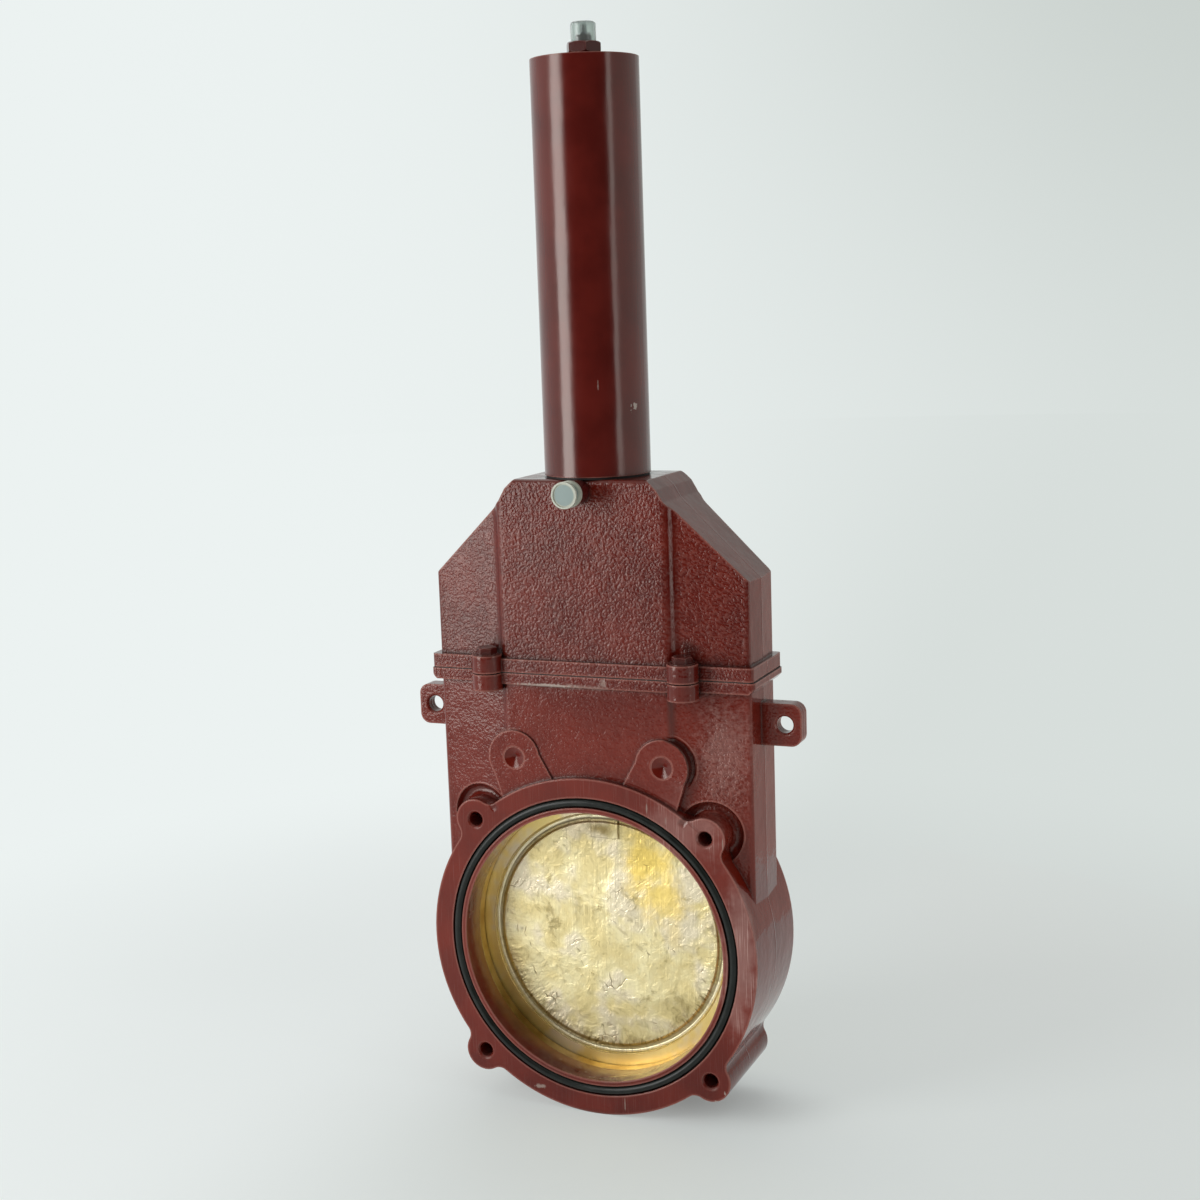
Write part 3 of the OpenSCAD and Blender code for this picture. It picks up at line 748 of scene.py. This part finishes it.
        # Painted shade in inner corners, in the pockets and in the shadow patches
        painted_shade = s.most(s.marked(marks.shadow_patches + marks.shaded_hollows), corners["Crease"])
        colour = s.mix(s.times(painted_shade, 0.8), colour, self.shade_dark)

        rough = s.plus(s.between(clouds, self.gloss - 0.04, self.gloss + 0.08), skin.duller)
        rough = s.math("ADD|", rough, s.times(s.most(chipped, rubbed, film, painted_shade), 0.2))
        return {
            "Base Color": colour,
            "Roughness": rough,
            "Normal": s.bump(skin.height, self.relief, 1.0, corners["Normal"]),
            "IOR": self.ior,
            "Specular Tint": (1.0, 0.93, 0.87),
        }


@dataclass(frozen=True)
class Bronze(Finish):
    """Bright bronze, machined, and rough as cast in the middle of the gate."""

    cast: bool
    deep: Colour = tone(238, 218, 160)
    light: Colour = tone(252, 238, 190)
    gold: Colour = tone(255, 222, 122)
    grey: Colour = tone(238, 224, 200)
    dark: Colour = tone(132, 112, 62)
    # Colour of the painted highlight on the lip
    painted_highlight: Colour = tone(255, 244, 206)
    gilt: tuple[Patch, ...] = ()
    stains: tuple[Patch, ...] = ()
    face_end: tuple[float, float] = (0.0920, 0.0900)
    groove: tuple[tuple[float, float], ...] = ((0.0838, 0.0862), (0.0884, 0.0872))
    lip: tuple[tuple[float, float], ...] = ((0.0872, 0.0890), (0.0921, 0.0906))
    ticks: tuple[float, float] = (0.068, 0.086)
    shaded: tuple[tuple[float, float], ...] = ((0.045, 0.085), (-0.035, -0.080))
    edge: float = 0.0012
    relief: float = 0.0009

    def _strokes(self, s: Surface, out: Value) -> tuple[Value, Value]:
        """Draws slanting strokes over the face and short ticks towards its rim.

        Args:
            s: The material's sketch.
            out: The distance from the bore's centre.

        Returns:
            The strokes and the ticks, each from 0 to 1.
        """
        x, _, z = s.parts(s.place)
        slant = s.joined(s.times(s.plus(x, z), 30.0), s.times(s.minus(z, x), 110.0))
        strokes = s.noise(s.drift(slant, 0.35, 2.0, (2.5, 3.5, 0.0)), 1.0, 4.0, 0.65)
        spokes = s.joined(s.times(s.math("ARCTAN2", z, x), 34.0), s.times(out, 90.0))
        ticks = s.times(s.noise(spokes, 1.0, 2.0, 0.6), s.span(out, *self.ticks))
        return strokes, s.times(ticks, s.between(s.span(z, 0.03, -0.04), 0.35, 1.0))

    def _cast_face(self, s: Surface, colour: Value) -> tuple[Value, Value]:
        """Draws the gate's face as it was cast: soft lumps, strokes, folds, gilt patches and stains, with
        painted shade in the groove, at the top and at the foot, and a painted highlight on the lip.

        Args:
            s: The material's sketch.
            colour: The bronze's own colour.

        Returns:
            The colour and the height.
        """
        x, _, z = s.parts(s.place)
        out = s.distance(x, z)
        middle = s.span(out, *self.face_end)
        groove, lip = s.band(out, *self.groove), s.band(out, *self.lip)
        strokes, ticks = self._strokes(s, out)
        moved = s.drift(s.place, 30.0, 3.0, (0.03, 0.03, 0.03))
        cells = s.node("TexVoronoi", {"Vector": moved, "Scale": 80.0}, feature="DISTANCE_TO_EDGE")
        torn = s.span(s.noise(s.place, 44.0, 3.0, 0.6), 0.55, 0.68)
        fold = s.times(s.span(cells.outputs["Distance"], 0.045, 0.0), torn)
        lumps = s.noise(moved, 26.0, 4.0, 0.55)
        crumple = s.noise(moved, 120.0, 3.0, 0.6)

        cast = s.mix(s.span(s.noise(s.place, 44.0, 3.0, 0.55), 0.35, 0.65), self.deep, self.light)
        colour = s.mix(middle, colour, cast)
        pale = s.span(s.noise(s.place, 23.0, 3.0, 0.6), 0.48, 0.62)
        colour = s.mix(s.times(pale, 0.75), colour, self.grey)
        olive = s.span(s.noise(moved, 48.0, 5.0, 0.7), 0.55, 0.70)
        olive = s.most(olive, s.times(s.span(crumple, 0.56, 0.70), 0.5))
        colour = s.mix(s.times(olive, middle, 0.6), colour, self.dark)
        colour = s.mix(s.times(s.marked(self.gilt), middle), colour, self.gold)
        # Stains, folds, ticks and strokes, with painted shade in the groove
        stains_and_shade = s.most(
            s.marked(self.stains, s.times(fold, 0.42)),
            s.times(s.span(ticks, 0.44, 0.66), 0.8),
            s.times(s.span(strokes, 0.58, 0.76), 0.22),
            s.times(groove, 0.65),
        )
        colour = s.mix(s.times(stains_and_shade, middle), colour, self.dark)
        top, foot = (s.span(z, *limits) for limits in self.shaded)
        shaded = s.most(top, s.times(foot, 0.6))
        colour = s.mix(s.times(shaded, middle, 0.4), colour, self.dark)
        # Painted highlight on the lip
        colour = s.mix(s.times(lip, 0.7), colour, self.painted_highlight)

        height = s.plus(s.times(lumps, 1.9), s.times(crumple, 0.55), s.times(strokes, pale, 0.45))
        height = s.plus(height, s.times(ticks, 0.9))
        height = s.minus(s.minus(height, s.times(fold, 0.3)), s.times(groove, 1.2))
        return colour, s.plus(s.times(height, middle), s.times(lip, 1.2))

    def inputs(self, s: Surface) -> dict[str, Value]:
        """Draws turned bronze, and the cast face on it where there is one.

        Args:
            s: The material's sketch.

        Returns:
            What goes into the shader.
        """
        clouds = s.effect(s.effects.mottle, Size=0.022)["Clouds"]
        corners = s.effect(s.effects.corners, Radius=self.edge, Reach=0.003)
        colour = s.mix(s.span(clouds, 0.3, 0.7), self.deep, self.light)
        # Painted shade in the creases
        colour = s.mix(s.times(corners["Crease"], 0.5), colour, self.dark)
        rough = s.between(clouds, 0.24, 0.42)
        height = s.times(s.effect(s.effects.fine_lines, Pitch=0.0007)["Height"], 0.12)
        if self.cast:
            colour, relief = self._cast_face(s, s.mix(0.6, colour, self.gold))
            height = s.plus(height, relief)
            rough = s.plus(rough, 0.08)
        normal = s.bump(height, self.relief, 1.0, corners["Normal"])
        return {"Base Color": colour, "Roughness": rough, "Metallic": 1.0, "Normal": normal}


@dataclass(frozen=True)
class Steel(Finish):
    """Turned, plated or chromed steel."""

    colour: Colour = tone(196, 196, 198)
    gloss: float = 0.22
    pitch: float = 0.0003

    def inputs(self, s: Surface) -> dict[str, Value]:
        """Draws cloudy steel with the fine rings of turning.

        Args:
            s: The material's sketch.

        Returns:
            What goes into the shader.
        """
        clouds = s.effect(s.effects.mottle, Size=0.015)["Clouds"]
        darker = tuple(part * 0.72 for part in self.colour)
        rings = s.noise(s.stretched((0.05, 0.05, 1.0)), 1.0 / self.pitch / 3.0, 1.0)
        return {
            "Base Color": s.mix(s.span(clouds, 0.3, 0.7), darker, self.colour),
            "Roughness": s.between(clouds, self.gloss - 0.06, self.gloss + 0.1),
            "Metallic": 1.0,
            "Normal": s.bump(rings, 0.00003, 0.6),
        }


@dataclass(frozen=True)
class Rubber(Finish):
    """Black rubber, satin on the seals and duller on the gaskets."""

    colour: Colour = tone(38, 40, 38)
    gloss: float = 0.42
    bloom: Colour = tone(120, 112, 104)

    def inputs(self, s: Surface) -> dict[str, Value]:
        """Draws rubber with a pale bloom, specks and a fine skin.

        Args:
            s: The material's sketch.

        Returns:
            What goes into the shader.
        """
        mottle = s.effect(s.effects.mottle, Size=0.012)
        paler = tuple(part * 1.6 + 0.004 for part in self.colour)
        colour = s.mix(s.span(mottle["Clouds"], 0.35, 0.75), self.colour, paler)
        return {
            "Base Color": s.mix(s.times(mottle["Specks"], 0.3), colour, self.bloom),
            "Roughness": s.between(mottle["Clouds"], self.gloss - 0.08, self.gloss + 0.12),
            "Normal": s.bump(s.noise(s.place, 2200.0, 2.0, 0.6), 0.00004, 0.7),
            "IOR": 1.36,
        }


@dataclass(frozen=True)
class Plastic(Finish):
    """Moulded plastic of the protection caps, milky or nearly clear."""

    colour: Colour
    clear: float
    gloss: float = 0.28
    disc: tuple[float, float, float] | None = None
    inner: Colour = tone(150, 166, 162)

    def inputs(self, s: Surface) -> dict[str, Value]:
        """Draws cloudy plastic, with a darker disc in its face where it has one.

        Args:
            s: The material's sketch.

        Returns:
            What goes into the shader.
        """
        clouds = s.effect(s.effects.mottle, Size=0.006)["Clouds"]
        darker = tuple(part * 0.86 for part in self.colour)
        colour = s.mix(s.span(clouds, 0.3, 0.75), darker, self.colour)
        if self.disc is not None:
            centre_x, centre_z, radius = self.disc
            x, _, z = s.parts(s.vector("SUBTRACT", s.place, (centre_x, 0.0, centre_z)))
            colour = s.mix(s.span(s.distance(x, z), radius + 0.0004, radius - 0.0004), colour, self.inner)
        return {
            "Base Color": colour,
            "Roughness": s.between(clouds, self.gloss - 0.05, self.gloss + 0.1),
            "Normal": s.bump(s.noise(s.place, 900.0), 0.00005, 0.5),
            "Transmission Weight": self.clear,
            "IOR": 1.46,
        }


@dataclass
class Finishes:
    """All the finishes of the valve, built once by name."""

    effects: Effects = field(default_factory=Effects)
    built: dict[str, bpy.types.Material] = field(default_factory=dict)

    def get(self, finish: Finish) -> bpy.types.Material:
        """Returns the material of a finish, which is built when it is first asked for.

        Args:
            finish: The finish.

        Returns:
            Its material.
        """
        if finish.name not in self.built:
            self.built[finish.name] = finish.material(self.effects)
        return self.built[finish.name]


class Mesh:
    """Gathers points and faces in metres and makes one object of them."""

    def __init__(self) -> None:
        """Starts empty."""
        self.bm = bmesh.new()

    def row(self, points: list[Point]) -> list[bmesh.types.BMVert]:
        """Adds a row of points."""
        return [self.bm.verts.new(point) for point in points]

    def bridge(self, lower: list, upper: list, closed: bool = True) -> None:
        """Joins two rows with four-sided faces.

        Args:
            lower: The first row.
            upper: The second row, of the same length.
            closed: Whether the last points are joined to the first ones.
        """
        count = len(lower)
        for k in range(count if closed else count - 1):
            after = (k + 1) % count
            self.bm.faces.new((lower[k], lower[after], upper[after], upper[k]))

    def cap(self, row: list) -> None:
        """Closes a row with one face."""
        self.bm.faces.new(row)

    def shade(self, degrees: float) -> None:
        """Turns all faces outwards and shades them smoothly, except at sharper edges.

        Args:
            degrees: The angle from which an edge stays sharp.
        """
        bmesh.ops.recalc_face_normals(self.bm, faces=self.bm.faces)
        self.bm.normal_update()
        for face in self.bm.faces:
            face.smooth = True
        for edge in self.bm.edges:
            edge.smooth = len(edge.link_faces) != 2 or edge.calc_face_angle(0.0) < math.radians(degrees)

    def make(self, name: str, material: bpy.types.Material) -> bpy.types.Object:
        """Makes an object of the faces and puts it in the scene.

        Args:
            name: The object's name.
            material: Its material.

        Returns:
            The object.
        """
        data = bpy.data.meshes.new(name)
        self.bm.to_mesh(data)
        self.bm.free()
        data.materials.append(material)
        made = bpy.data.objects.new(name, data)
        bpy.context.scene.collection.objects.link(made)
        return made


@dataclass
class Dresser:
    """Gives CAD nodes their finishes."""

    nodes: dict[str, bpy.types.Object]
    finishes: Finishes

    def dress(self, finish: Finish, *names: str) -> None:
        """Puts one finish on CAD nodes.

        Args:
            finish: The finish.
            *names: The nodes' names.
        """
        for name in names:
            node = self.nodes[name]
            node.data.materials.clear()
            node.data.materials.append(self.finishes.get(finish))
            log.info("dressed %s in %s", name, finish.name)


@dataclass
class Castings:
    """The lower casting and the bonnet, with the sealing plugs in their bosses."""

    dresser: Dresser
    seal_proud: float = 0.0010
    seat_wall: float = 0.008
    marks: Marks = Marks(
        chips=(
            Patch((-0.0449, FLANGE_FACE, -0.1105), (0.0048, 0.003, 0.0018), 0.55, Edge.SCUFFED),
            Patch((0.0945, -0.083, -0.1030), (0.0035, 0.004, 0.0014)),
            Patch((0.0990, -0.080, -0.0960), (0.0020, 0.004, 0.0020), 0.8),
            Patch((-0.0290, JOINT_EDGE, 0.1902), (0.0230, 0.003, 0.0013), 0.7),
        ),
        rubs=(
            Patch((0.0149, JOINT_EDGE, 0.1935), (0.0030, 0.003, 0.0040), 0.8, Edge.SCUFFED),
            Patch((-0.0100, JOINT_EDGE, 0.1900), (0.0420, 0.003, 0.0026), 0.6, Edge.RUBBED),
            Patch((0.1017, FLANGE_FACE, 0.0858), (0.0006, 0.003, 0.0060), 0.9, Edge.SCRATCHED),
            Patch((0.0462, FLANGE_FACE, 0.1071), (0.0007, 0.003, 0.0045), 0.9, Edge.SCRATCHED),
            Patch((0.0224, FLANGE_FACE, -0.1150), (0.0006, 0.003, 0.0060), 0.9, Edge.SCRATCHED),
            Patch((0.0600, FLANGE_FACE, 0.0990), (0.0005, 0.003, 0.0035), 0.6, Edge.SCRATCHED),
        ),
        # Painted sheen on the flange face and the lower right cheek
        sheen_patches=(
            haze((0.074, FLANGE_FACE, 0.095), (0.040, 0.008, 0.034), 0.6),
            haze((0.112, FLANGE_FACE, 0.010), (0.016, 0.008, 0.085), 0.85),
            Patch((0.100, -0.070, 0.148), (0.026, 0.03, 0.046), 0.5, Edge.SPECKLED),
        ),
        # Painted shade beside the two front bolts and low on the left of the bore
        shadow_patches=(
            haze((-0.068, -0.075, 0.216), (0.012, 0.02, 0.010), 0.8),
            haze((0.077, -0.075, 0.218), (0.012, 0.02, 0.010), 0.8),
            haze((-0.060, -0.066, -0.068), (0.040, 0.014, 0.036), 0.5),
        ),
        # Coarser grain, whose high points get painted highlights
        coarse=(haze((0.098, -0.070, 0.130), (0.034, 0.03, 0.062), 1.6),),
        # Pockets round a boss, the top lugs and the flange rim, with painted shade
        shaded_hollows=(
            Arc((BOSS_X, BOSS_Z), 0.0208, 0.0020, 22.0, 66.0, 0.9),
            Arc((LUG, LUG), 0.0190, 0.0036, 60.0, 100.0, 0.55),
            Arc((-LUG, LUG), 0.0190, 0.0036, 120.0, 100.0, 0.45),
            Arc((0.0, 0.0), 0.1262, 0.0016, 62.0, 26.0, 0.8),
        ),
        # Painted highlights along rims of the bosses, the top lugs and the flange
        glints=(
            Arc((BOSS_X, BOSS_Z), 0.0238, 0.0009, 24.0, 56.0, 0.7),
            Arc((-BOSS_X, BOSS_Z), 0.0206, 0.0009, 130.0, 60.0, 0.7),
            Arc((LUG, LUG), 0.0240, 0.0010, 60.0, 80.0, 0.7),
            Arc((-LUG, LUG), 0.0240, 0.0010, 100.0, 60.0, 0.6),
            Arc((0.0, 0.0), 0.1245, 0.0009, 105.0, 28.0, 0.9),
        ),
    )

    def dress(self) -> None:
        """Paints the castings and their plugs."""
        low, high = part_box("gate")
        turning = Turning(
            front=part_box("front_face_seal")[0].y + self.seal_proud,
            back=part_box("rear_face_seal")[1].y - self.seal_proud,
            middle=(low.y + high.y) / 2,
            bore=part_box("front_seat")[1].z - self.seat_wall,
        )
        cast = Paint(
            "painted_casting",
            Skin.CAST,
            gloss=0.065,
            grain=0.0020,
            relief=0.00032,
            edge=0.0016,
            marks=self.marks,
            turning=turning,
        )
        self.dresser.dress(cast, "lower_casting", "bonnet")
        plug = Paint("painted_plug", Skin.MACHINED, edge=0.0006)
        self.dresser.dress(plug, "front_left_plug", "front_right_plug", "rear_left_plug", "rear_right_plug")


@dataclass
class JointBolts:
    """The four hexagon bolts that hold the bonnet down."""

    finishes: Finishes
    across_x: float = 0.0745
    lug_radius: float = 0.011
    lug_top: float = 0.0126
    flats: float = 0.013
    head: float = 0.0053
    washer: float = 0.0088
    washer_top: float = 0.0005
    wall_foot: float = 0.0012
    round_off: float = 0.0003
    dish: float = 0.00025
    corner: float = 1.135
    slope: float = 0.58
    crown_shares: tuple[float, float] = (0.93, 0.55)
    columns: int = 72

    def _head(self) -> Mesh:
        """Builds a bolt head with its chamfered crown and its washer, standing on z = 0.

        Returns:
            The mesh.
        """
        mesh = Mesh()
        half = self.flats / 2
        rings: list[list[Point]] = [[] for _ in range(7)]
        for k in range(self.columns):
            turn = 2 * math.pi * k / self.columns
            out = min(half / math.cos((turn % (math.pi / 3)) - math.pi / 6), half * self.corner)
            profile = (
                (self.washer, -self.round_off),
                (self.washer, self.washer_top),
                (out + self.round_off, self.washer_top + self.round_off),
                (out, self.wall_foot),
                (out, self.head - (out - half) * self.slope - self.round_off),
                (half * self.crown_shares[0], self.head),
                (half * self.crown_shares[1], self.head - self.dish),
            )
            for ring, (radius, height) in zip(rings, profile):
                ring.append((math.cos(turn) * radius, math.sin(turn) * radius, height))
        rows = [mesh.row(ring) for ring in rings]
        for lower, upper in pairwise(rows):
            mesh.bridge(lower, upper)
        mesh.cap(rows[-1])
        mesh.cap(rows[0][::-1])
        return mesh

    def build(self) -> None:
        """Puts a bolt on each lug of the bonnet's flange."""
        deep, light = tone(62, 16, 13), tone(84, 24, 19)
        paint = self.finishes.get(Paint("painted_bolt", Skin.MACHINED, deep, light, edge=0.0005))
        low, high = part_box("bonnet")
        front, rear = low.y + self.lug_radius, high.y - self.lug_radius
        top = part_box("joint_gasket")[1].z + self.lug_top
        places = {
            "front_left": (-self.across_x, front, 0.30),
            "front_right": (self.across_x, front, 0.12),
            "rear_left": (-self.across_x, rear, 0.45),
            "rear_right": (self.across_x, rear, 0.75),
        }
        for place, (x, y, turn) in places.items():
            mesh = self._head()
            mesh.bm.transform(Matrix.Translation((x, y, top)) @ Matrix.Rotation(turn, 4, "Z"))
            mesh.shade(32.0)
            bolt = mesh.make(f"joint_bolt_{place}", paint)
            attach(bolt, "valve")
            log.info("made %s with %d faces", bolt.name, len(bolt.data.polygons))


@dataclass
class LiftingCylinder:
    """The cylinder that lifts the gate, with its fittings and what moves inside it."""

    dresser: Dresser
    plug_rim: float = 0.0021
    marks: Marks = Marks(
        chips=(
            Patch((0.0166, -0.0756, 0.4009), (0.0005, 0.002, 0.0040), 0.35),
            Patch((0.0350, -0.0545, 0.3850), (0.0010, 0.003, 0.0022), 0.9),
            Patch((0.0335, -0.0560, 0.3830), (0.0006, 0.003, 0.0040), 0.6),
        )
    )

    def dress(self) -> None:
        """Paints the tube and finishes the parts inside it."""
        dress = self.dresser.dress
        tube = Paint(
            "painted_tube",
            Skin.DRAWN,
            deep=tone(76, 15, 10),
            light=tone(90, 20, 13),
            gloss=0.15,
            ior=1.55,
            edge=0.0008,
            marks=self.marks,
        )
        dress(tube, "cylinder_tube", "cylinder_head")
        deep, light = tone(60, 14, 14), tone(78, 22, 20)
        dress(Paint("painted_fitting", Skin.MACHINED, deep, light, edge=0.0004), "top_fitting", "port_nipple")
        dress(Steel("turned_steel"), "cylinder_base", "piston", "piston_nut", "rod_nut", "fitting_nipple")
        dress(Steel("chromed_rod", tone(222, 224, 228), 0.12), "piston_rod")
        dress(Plastic("clear_cap", tone(226, 234, 230), 0.9, 0.18), "dust_cap")
        low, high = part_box("port_plug")
        disc = ((low.x + high.x) / 2, (low.z + high.z) / 2, (high.x - low.x) / 2 - self.plug_rim)
        dress(Plastic("milky_cap", tone(206, 208, 192), 0.15, 0.3, disc), "port_plug")
        dress(Plastic("guide_ring", tone(200, 196, 180), 0.0, 0.5), "piston_ring")


@dataclass
class GateAndSeals:
    """The bronze gate between its seats, and every rubber seal and gasket."""

    dresser: Dresser
    gilt: tuple[Patch, ...] = (
        haze((0.032, GATE_FACE, 0.056), (0.026, 0.03, 0.036), 0.95),
        haze((0.044, GATE_FACE, 0.032), (0.026, 0.03, 0.030), 0.8),
        haze((0.020, GATE_FACE, 0.036), (0.013, 0.03, 0.010), 0.5),
        haze((0.052, GATE_FACE, 0.006), (0.010, 0.03, 0.020), 0.35),
    )
    stains: tuple[Patch, ...] = (
        haze((-0.004, GATE_FACE, 0.080), (0.016, 0.03, 0.008), 0.85),
        haze((-0.024, GATE_FACE, 0.022), (0.006, 0.03, 0.012), 0.35),
        haze((-0.060, GATE_FACE, -0.035), (0.012, 0.03, 0.030), 0.15),
        haze((0.055, GATE_FACE, -0.050), (0.022, 0.03, 0.014), 0.3),
    )

    def dress(self) -> None:
        """Finishes the gate, the seats and the seals."""
        dress = self.dresser.dress
        dress(Bronze("cast_bronze", True, gilt=self.gilt, stains=self.stains), "gate")
        seat = Bronze("seat_bronze", False, deep=tone(164, 130, 78), light=tone(208, 180, 124))
        dress(seat, "front_seat", "rear_seat")
        dress(Rubber("seal_rubber", tone(19, 22, 19), 0.30), "front_face_seal", "rear_face_seal")
        gasket = Rubber("gasket", tone(30, 24, 22), 0.6)
        dress(gasket, "joint_gasket", "foot_gasket", "rod_seal", "rod_wiper")
        dress(gasket, "head_seal", "base_seal", "piston_seal")


def on_bearing(turn: float, away: float, height: float) -> Point:
    """A point at a bearing in radians from the valve's front, positive towards +X."""
    return away * math.sin(turn), -away * math.cos(turn), height


@dataclass(frozen=True)
class Card:
    """A curved card between two bearings in degrees, which only the gloss of the valve shows."""

    name: str
    away: float
    turns: tuple[float, float]
    heights: tuple[float, float]
    shade: Colour
    glow: float
    columns: int = 17

    def hang(self) -> None:
        """Hangs the card, whose glow is the share of its colour that doesn't need the lamps."""
        s = Surface(self.name)
        colour = s.mix(s.noise(s.place, 4.0), tuple(part * 0.7 for part in self.shade), self.shade)
        material = s.end_glowing(colour, 0.9, self.shade, self.glow)
        start, end = (math.radians(turn) for turn in self.turns)
        bearings = [start + (end - start) * k / (self.columns - 1) for k in range(self.columns)]
        mesh = Mesh()
        lower, upper = (
            mesh.row([on_bearing(turn, self.away, height) for turn in bearings]) for height in self.heights
        )
        mesh.bridge(lower, upper, closed=False)
        card = mesh.make(self.name, material)
        card.visible_camera = False
        card.visible_diffuse = False
        card.visible_shadow = False
        card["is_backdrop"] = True


@dataclass(frozen=True)
class Lamp:
    """A soft box at a bearing in degrees, which faces the valve, with its power in watts."""

    name: str
    turn: float
    away: float
    height: float
    size: tuple[float, float]
    power: float
    aim: Point = (0.0, -0.042, 0.2)

    def hang(self) -> None:
        """Hangs the lamp."""
        data = bpy.data.lights.new(self.name, "AREA")
        data.shape, data.size, data.size_y, data.energy = "RECTANGLE", *self.size, self.power
        lamp = bpy.data.objects.new(self.name, data)
        lamp.location = on_bearing(math.radians(self.turn), self.away, self.height)
        lamp.rotation_euler = (lamp.location - Vector(self.aim)).to_track_quat("Z", "Y").to_euler()
        lamp.visible_camera = False
        bpy.context.scene.collection.objects.link(lamp)


@dataclass
class Studio:
    """A pale floor, soft lamps, a dark and a warm card for the gloss, and the camera."""

    azimuth: float = 23.34
    elevation: float = 9.36
    roll: float = -1.955
    camera_at: Point = (0.5233, -1.2591, 0.4646)
    lens: float = 56.35
    world_light: float = 0.42
    backdrop_left: Colour = tone(236, 242, 241)
    backdrop_right: Colour = tone(200, 207, 203)
    floor_radii: tuple[float, ...] = (0.6, 1.4, 3.0, 7.0)
    floor_columns: int = 72
    floor_colour: Colour = tone(244, 249, 247)
    floor_glow: float = 0.5
    shade_at: tuple[float, float] = (0.055, -0.030)
    shade_size: tuple[float, float] = (0.13, 0.065)
    shade_colour: Colour = (0.30, 0.33, 0.35)
    cards: tuple[Card, ...] = (
        Card("dark_card", 1.95, (-24.0, 66.0), (-0.12, 2.1), tone(44, 44, 44), glow=0.0),
        Card("warm_card", 0.62, (120.0, 175.0), (-0.125, 0.20), tone(206, 188, 181), glow=1.0),
    )
    lamps: tuple[Lamp, ...] = (
        Lamp("key_box", -40.5, 1.7, 0.45, (0.75, 1.5), 19.5),
        Lamp("side_strip", 72.0, 1.7, 0.45, (0.30, 1.3), 2.2),
        Lamp("top_box", -150.0, 0.9, 2.1, (1.6, 1.6), 9.0),
    )

    def _camera(self) -> None:
        """Sets the camera."""
        a, e, r = (math.radians(x) for x in (self.azimuth, self.elevation, self.roll))
        back = Vector((math.sin(a) * math.cos(e), -math.cos(a) * math.cos(e), math.sin(e)))
        right = Vector((math.cos(a), math.sin(a), 0.0))
        up = back.cross(right)
        x_axis = right * math.cos(r) + up * math.sin(r)
        y_axis = up * math.cos(r) - right * math.sin(r)
        turn = Matrix((x_axis, y_axis, back)).transposed().to_4x4()
        data = bpy.data.cameras.new("camera")
        data.lens, data.sensor_width = self.lens, 36.0
        data.clip_start, data.clip_end = 0.01, 100.0
        camera = bpy.data.objects.new("camera", data)
        camera.matrix_world = Matrix.Translation(self.camera_at) @ turn
        bpy.context.scene.collection.objects.link(camera)
        bpy.context.scene.camera = camera

    def _backdrop(self, s: Sketch, across: Value, up: Value) -> Socket:
        """The backdrop's shade, falling off to the right and upwards there.

        Args:
            s: The sketch of what shows it.
            across: How far a direction goes towards +X.
            up: How far it goes up.

        Returns:
            The colour.
        """
        share = s.math("POWER", s.span(across, -0.66, -0.06), 1.6)
        share = s.times(share, s.between(s.span(up, -0.10, 0.20), 0.6, 1.0))
        return s.mix(share, self.backdrop_left, self.backdrop_right)

    def _world(self) -> None:
        """Lights the valve from all round, and shows a pale background behind it."""
        world = bpy.data.worlds.new("studio")
        bpy.context.scene.world = world
        world.use_nodes = True
        s = Sketch(world.node_tree)
        x, _, z = s.parts(s.node("TexCoord").outputs["Generated"])
        seen = s.node("Background", {"Color": self._backdrop(s, x, z), "Strength": 1.0})
        light = s.node("Background", {"Color": (1.0, 1.0, 1.0), "Strength": self.world_light})
        path = s.node("LightPath").outputs
        direct = s.most(path["Is Camera Ray"], path["Is Glossy Ray"], path["Is Transmission Ray"])
        both = s.node("MixShader", {0: direct, 1: light.outputs[0], 2: seen.outputs[0]})
        s.node("OutputWorld", {"Surface": both.outputs[0]})

    def _floor(self, height: float) -> None:
        """Lays the floor, darker in the valve's own shade and melting into the backdrop far away.

        Args:
            height: The floor's height in metres.
        """
        s = Surface("floor")
        x, y, _ = s.parts(s.place)
        away = s.distance(x, y)
        east, north = (
            s.math("DIVIDE", s.minus(way, centre), size)
            for way, centre, size in zip((x, y), self.shade_at, self.shade_size)
        )
        shade = s.times(s.span(s.distance(east, north), 1.0, 0.1), 0.42)
        cloud = s.span(s.noise(s.place, 3.0), 0.3, 0.7)
        colour = s.mix(cloud, self.floor_colour, tuple(part * 0.97 for part in self.floor_colour))
        colour = s.mix(shade, colour, self.shade_colour)
        backdrop = self._backdrop(s, s.math("DIVIDE", x, s.math("MAXIMUM", away, 0.5)), -0.2)
        glow = s.between(s.span(away, 0.35, 0.95), self.floor_glow, 1.0)
        material = s.end_glowing(colour, 0.55, backdrop, s.times(glow, s.minus(1.0, shade)))

        mesh = Mesh()
        turns = [2 * math.pi * k / self.floor_columns for k in range(self.floor_columns)]
        rows = [
            mesh.row([(out * math.cos(turn), out * math.sin(turn), height) for turn in turns])
            for out in self.floor_radii
        ]
        mesh.cap(rows[0])
        for inner, outer in pairwise(rows):
            mesh.bridge(inner, outer)
        mesh.make("floor", material)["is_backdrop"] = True

    def build(self) -> None:
        """Sets up the whole studio."""
        bpy.context.scene.view_settings.view_transform = "Standard"
        self._camera()
        self._world()
        self._floor(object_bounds()[0].z)
        for piece in (*self.cards, *self.lamps):
            piece.hang()
            log.info("hung %s", piece.name)


def main() -> None:
    """Builds the valve in order and reports each piece."""
    logging.basicConfig(level=logging.INFO, format="%(name)s: %(message)s")
    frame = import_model()
    finishes = Finishes()
    dresser = Dresser(frame["nodes"], finishes)
    Castings(dresser).dress()
    LiftingCylinder(dresser).dress()
    GateAndSeals(dresser).dress()
    JointBolts(finishes).build()
    Studio().build()


if __name__ == "__main__":
    main()
